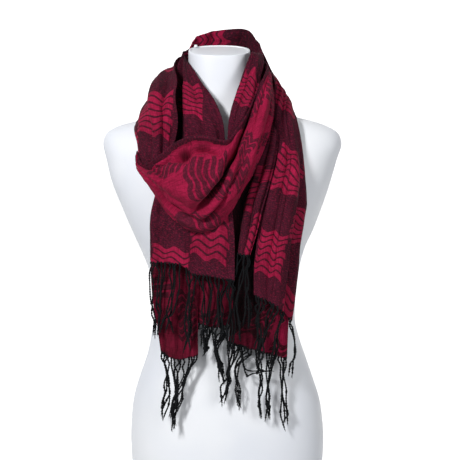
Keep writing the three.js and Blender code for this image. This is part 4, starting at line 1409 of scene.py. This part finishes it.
def left_back() -> Ribbon:
    """Describe the outer part of the layer that hangs behind the left end.

    Returns:
        The stretch.
    """
    sections = (
        Section((-40, -113, 446), (-80, -112, 446), (-117, -108, 446), 64, 139, 132),
        Section((-42, -105, 370), (-80, -105, 370), (-121, -103, 370), 64, 139, 132),
        Section((-44, -108, 309), (-80, -108, 309), (-118, -104, 309), 64, 139, 132),
        Section((-45, -107, 266), (-78, -107, 266), (-111, -103, 268), 64, 139, 132),
        Section((-45, -106, 219), (-78, -106, 212), (-105, -102, 224), 64, 139, 132),
    )
    creases = (
        Crease(((0.4, 0.3), (4.9, 0.26)), 0.09, -4.6, 1.7),
        Crease(((0.4, 0.66), (4.9, 0.72)), 0.12, 4.2),
        Crease(((1, 0.48), (4.9, 0.5)), 0.04, -3.0, 1.5),
        Crease(((1, 0.86), (4.9, 0.88)), 0.04, -3.4, 1.5),
        Crease(((1, 0.14), (4.9, 0.12)), 0.04, 3.0),
        Crease(((1.6, 0.6), (4.9, 0.58)), 0.03, 2.0, 1.5),
    )
    return Ribbon("left_back_layer", sections, creases, -1, ("left_tail_back",), Face.CRIMSON,
                  "crimson_cloth", steps_along=150, steps_across=66, start_along=-46.0)


def left_middle() -> Ribbon:
    """Describe the shorter inner part of the layer that hangs behind the left end.

    Returns:
        The stretch.
    """
    sections = (
        Section((28, -106.5, 500), (-10, -113, 500), (-36, -115, 500), -60, 62, 10),
        Section((28, -111.8, 447), (-12, -116.6, 447), (-38, -115.4, 447), -60, 62, 10),
        Section((24, -107, 371), (-13, -110, 371), (-41, -103, 371), -30, 64, 18),
        Section((16, -104, 309), (-16, -110, 309), (-47, -103.6, 309), 0, 66),
        Section((12, -103, 272), (-17, -110, 264), (-48, -103, 272), 0, 66),
    )
    creases = (
        Crease(((0.4, 0.3), (3.4, 0.26)), 0.1, -3),
        Crease(((0.4, 0.66), (3.4, 0.72)), 0.12, 2.5),
    )
    return Ribbon("left_middle_layer", sections, creases, -1, ("left_tail_middle",), Face.CRIMSON,
                  "crimson_cloth", steps_along=120, steps_across=50, start_along=-60.0, ripple=0.5,
                  # painted shade: the near edge, deep behind the left end, is painted dark
                  painted_shade_hollows=(Crease(((-1.0, 0.0), (3.0, 0.0)), 0.3, 0.6),))


@dataclass
class Studio:
    """A plain pale sweep, soft lights and the camera at the photograph's angle."""

    scale: float = 1.65  # millimetres for each pixel of the photograph, at the form
    frame: int = 460
    distance: float = 4000.0
    rise: float = 5.0  # degrees above level
    aim: Point = (6.6, 0.0, 412.5)
    board: float = 8.0  # metres from the middle of the floor or the backdrop to its edge
    behind: float = 7.0  # metres from the form to the backdrop
    board_colour: Colour = (0.82, 0.82, 0.83)
    surround: Colour = (0.96, 0.98, 1.0)
    surround_strength: float = 0.27
    lit: Point = (0.0, 0.0, 0.5)  # where both lamps point, in metres

    def build(self) -> None:
        """Set the stage, the lights and the camera."""
        self.floor()
        self.lights()
        self.camera()
        LOG.info("set the studio")

    def floor(self) -> None:
        """Lay a plain pale floor, and stand a white board well behind the form."""
        for name, turn, place, glow in (
            ("studio_floor", Matrix.Identity(4), (0.0, 0.0, 0.0), 0.9),
            ("studio_backdrop", Matrix.Rotation(math.pi / 2, 4, "X"), (0.0, self.behind, 3.0), 1.1),
        ):
            shape = bmesh.new()
            bmesh.ops.create_grid(shape, x_segments=2, y_segments=2, size=self.board,
                                  matrix=Matrix.Translation(place) @ turn)
            board = stand(shape, name)
            board.visible_diffuse = False
            g = Graph(name)
            board.data.materials.append(g.finish(self.board_colour, 0.9, None, Specular_IOR_Level=0.1,
                                                 Emission_Strength=glow))
            shader = next(n for n in g.tree.nodes if n.type == "BSDF_PRINCIPLED")
            shader.inputs["Emission Color"].default_value = (1.0, 1.0, 1.0, 1.0)

    def lights(self) -> None:
        """Hang a key high at the front left, a fill lower at the front right, and a pale surround."""
        world = bpy.data.worlds.new("studio")
        world.use_nodes = True
        background = world.node_tree.nodes["Background"]
        background.inputs["Color"].default_value = (*self.surround, 1.0)
        background.inputs["Strength"].default_value = self.surround_strength
        bpy.context.scene.world = world
        bpy.context.scene.view_settings.view_transform = "Standard"
        for name, place, size, power in (
            ("key", (-1.5, -2.4, 2.0), 0.5, 88.0),
            ("fill", (2.0, -2.3, 1.0), 1.2, 27.0),
        ):
            data = bpy.data.lights.new(name, "AREA")
            data.size = size
            data.energy = power
            lamp = bpy.data.objects.new(name, data)
            lamp.location = place
            toward = Vector(self.lit) - Vector(place)
            lamp.rotation_euler = toward.to_track_quat("-Z", "Y").to_euler()
            bpy.context.scene.collection.objects.link(lamp)

    def camera(self) -> None:
        """Place the camera where the photograph was taken from."""
        data = bpy.data.cameras.new("camera")
        data.sensor_width = 36.0
        data.lens = data.sensor_width * self.distance / (self.scale * self.frame)
        data.clip_end = 60.0
        camera = bpy.data.objects.new("camera", data)
        rise = math.radians(self.rise)
        back = Vector((0.0, -math.cos(rise), math.sin(rise))) * self.distance
        camera.location = (Vector(self.aim) + back) * MM
        camera.rotation_euler = (math.pi / 2 - rise, 0.0, 0.0)
        bpy.context.scene.collection.objects.link(camera)
        bpy.context.scene.camera = camera


def fringes(inner: Ribbon, outer: Ribbon, middle: Ribbon, back: Ribbon, left: Ribbon,
            short: Ribbon) -> tuple[Fringe, ...]:
    """Describe the fringe along each hem.

    Args:
        inner: The turn that ends in the left front hem.
        outer: The turn that ends in the right front hem.
        middle: The gathered folds between them.
        back: The layer behind the right end.
        left: The outer layer behind the left end.
        short: The inner layer behind the left end.

    Returns:
        The fringes, left to right.
    """
    return (
        Fringe("fringe_left_front", inner, False, (
            Bundle(0.95, 1.0, 2, (151, 306), (153, 332), 1.5, 3),
            Bundle(0.8, 0.93, 3, (158, 306), (157, 328), 4, 4),
            Bundle(0.62, 0.78, 4, (172, 308), (167, 326), 8, 10),
            Bundle(0.44, 0.58, 4, (189, 318), (187, 346), 5, 8),
            Bundle(0.26, 0.42, 4, (205, 312), (205, 344), 8, 8),
            Bundle(0.12, 0.24, 3, (218, 315), (216, 345), 5, 6),
            Bundle(0.0, 0.1, 4, (230, 312), (229, 350), 5, 6)), 1, depth=3.0),
        Fringe("fringe_left_back", left, True, (
            Bundle(0.75, 1.0, 4, (166, 388), (162, 416), 3, 3),
            Bundle(0.3, 0.7, 5, (175, 393), (174, 426), 4, 5),
            Bundle(0.0, 0.25, 4, (183, 386), (172, 413), 5, 7)), 2),
        Fringe("fringe_left_middle", short, True, (
            Bundle(0.55, 0.95, 5, (206, 342), (206, 354), 4, 4),
            Bundle(0.05, 0.5, 5, (217, 350), (222, 380), 4, 4)), 3),
        Fringe("fringe_right_middle", middle, True, (
            Bundle(0.05, 0.3, 2, (223, 298), (220, 338), 4, 6),
            Bundle(0.4, 0.6, 2, (237, 300), (240, 334), 3, 5),
            Bundle(0.7, 0.95, 3, (249, 288), (246, 326), 4, 6)), 4, depth=4.0),
        Fringe("fringe_right_front", outer, True, (
            Bundle(0.02, 0.3, 4, (258, 318), (256, 350), 4, 6),
            Bundle(0.36, 0.6, 3, (264, 335), (259, 362), 3, 5),
            Bundle(0.64, 0.84, 3, (276, 340), (271, 365), 3, 4),
            Bundle(0.9, 1.0, 2, (296, 355), (291, 380), 1.5, 3)), 5),
        Fringe("fringe_right_back", back, True, (
            Bundle(0.0, 0.2, 6, (228, 378), (222, 401), 4, 6),
            Bundle(0.2, 0.24, 2, (246, 373), (268, 371), 2, 3),
            Bundle(0.24, 0.42, 4, (238, 372), (240, 405), 5, 4),
            Bundle(0.46, 0.6, 3, (262, 385), (261, 417), 4, 4),
            Bundle(0.64, 0.8, 4, (268, 395), (269, 417), 4, 5),
            Bundle(0.86, 1.0, 4, (284, 398), (286, 427), 3, 3)), 6),
    )


def cloth_finishes() -> dict[str, dict[Face, bpy.types.Material]]:
    """Build the cloth's finishes.

    Returns:
        The finish of each face, for the plain cloth under "" and for each layer behind the two ends
        under its name. Those layers are thin and hang in the shade of the ends, and that shade is
        painted into their finishes as darker colours.
    """
    # painted shade: darker copies of the weave for the layers that hang in the shade of the ends
    shaded = WovenCloth("woven_shade_painted", wine=from_screen(46, 14, 25), wine_deep=from_screen(22, 7, 12),
                        crimson=from_screen(126, 21, 50), crimson_deep=from_screen(66, 9, 24))
    deep = WovenCloth("woven_shadow_painted", wine=from_screen(26, 10, 15), wine_deep=from_screen(11, 5, 7),
                      crimson=from_screen(172, 30, 72), crimson_deep=from_screen(98, 13, 39))
    # thin and shadow are the finishes with painted shade
    thin, shadow, plain = ({face: cloth.material(face) for face in Face}
                           for cloth in (shaded, deep, WovenCloth()))
    return {"": plain, "left_back_layer": thin, "left_middle_layer": thin, "right_back_layer": shadow}


def main() -> None:
    """Build the dressed form in order."""
    logging.basicConfig(level=logging.INFO, format="%(name)s: %(message)s")
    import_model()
    Studio().build()
    DressForm(form_levels()).build(MouldedShell().material())
    finishes = cloth_finishes()
    inner, outer, loop = inner_turn(), outer_turn(), front_loop()
    middle, back, left, short = right_middle(), right_back(), left_back(), left_middle()
    for ribbon in (inner, outer, loop, middle, back, left, short):
        ribbon.build(finishes.get(ribbon.name, finishes[""]))
    yarn = FringeYarn().material()
    for fringe in fringes(inner, outer, middle, back, left, short):
        fringe.build(yarn)


if __name__ == "__main__":
    main()
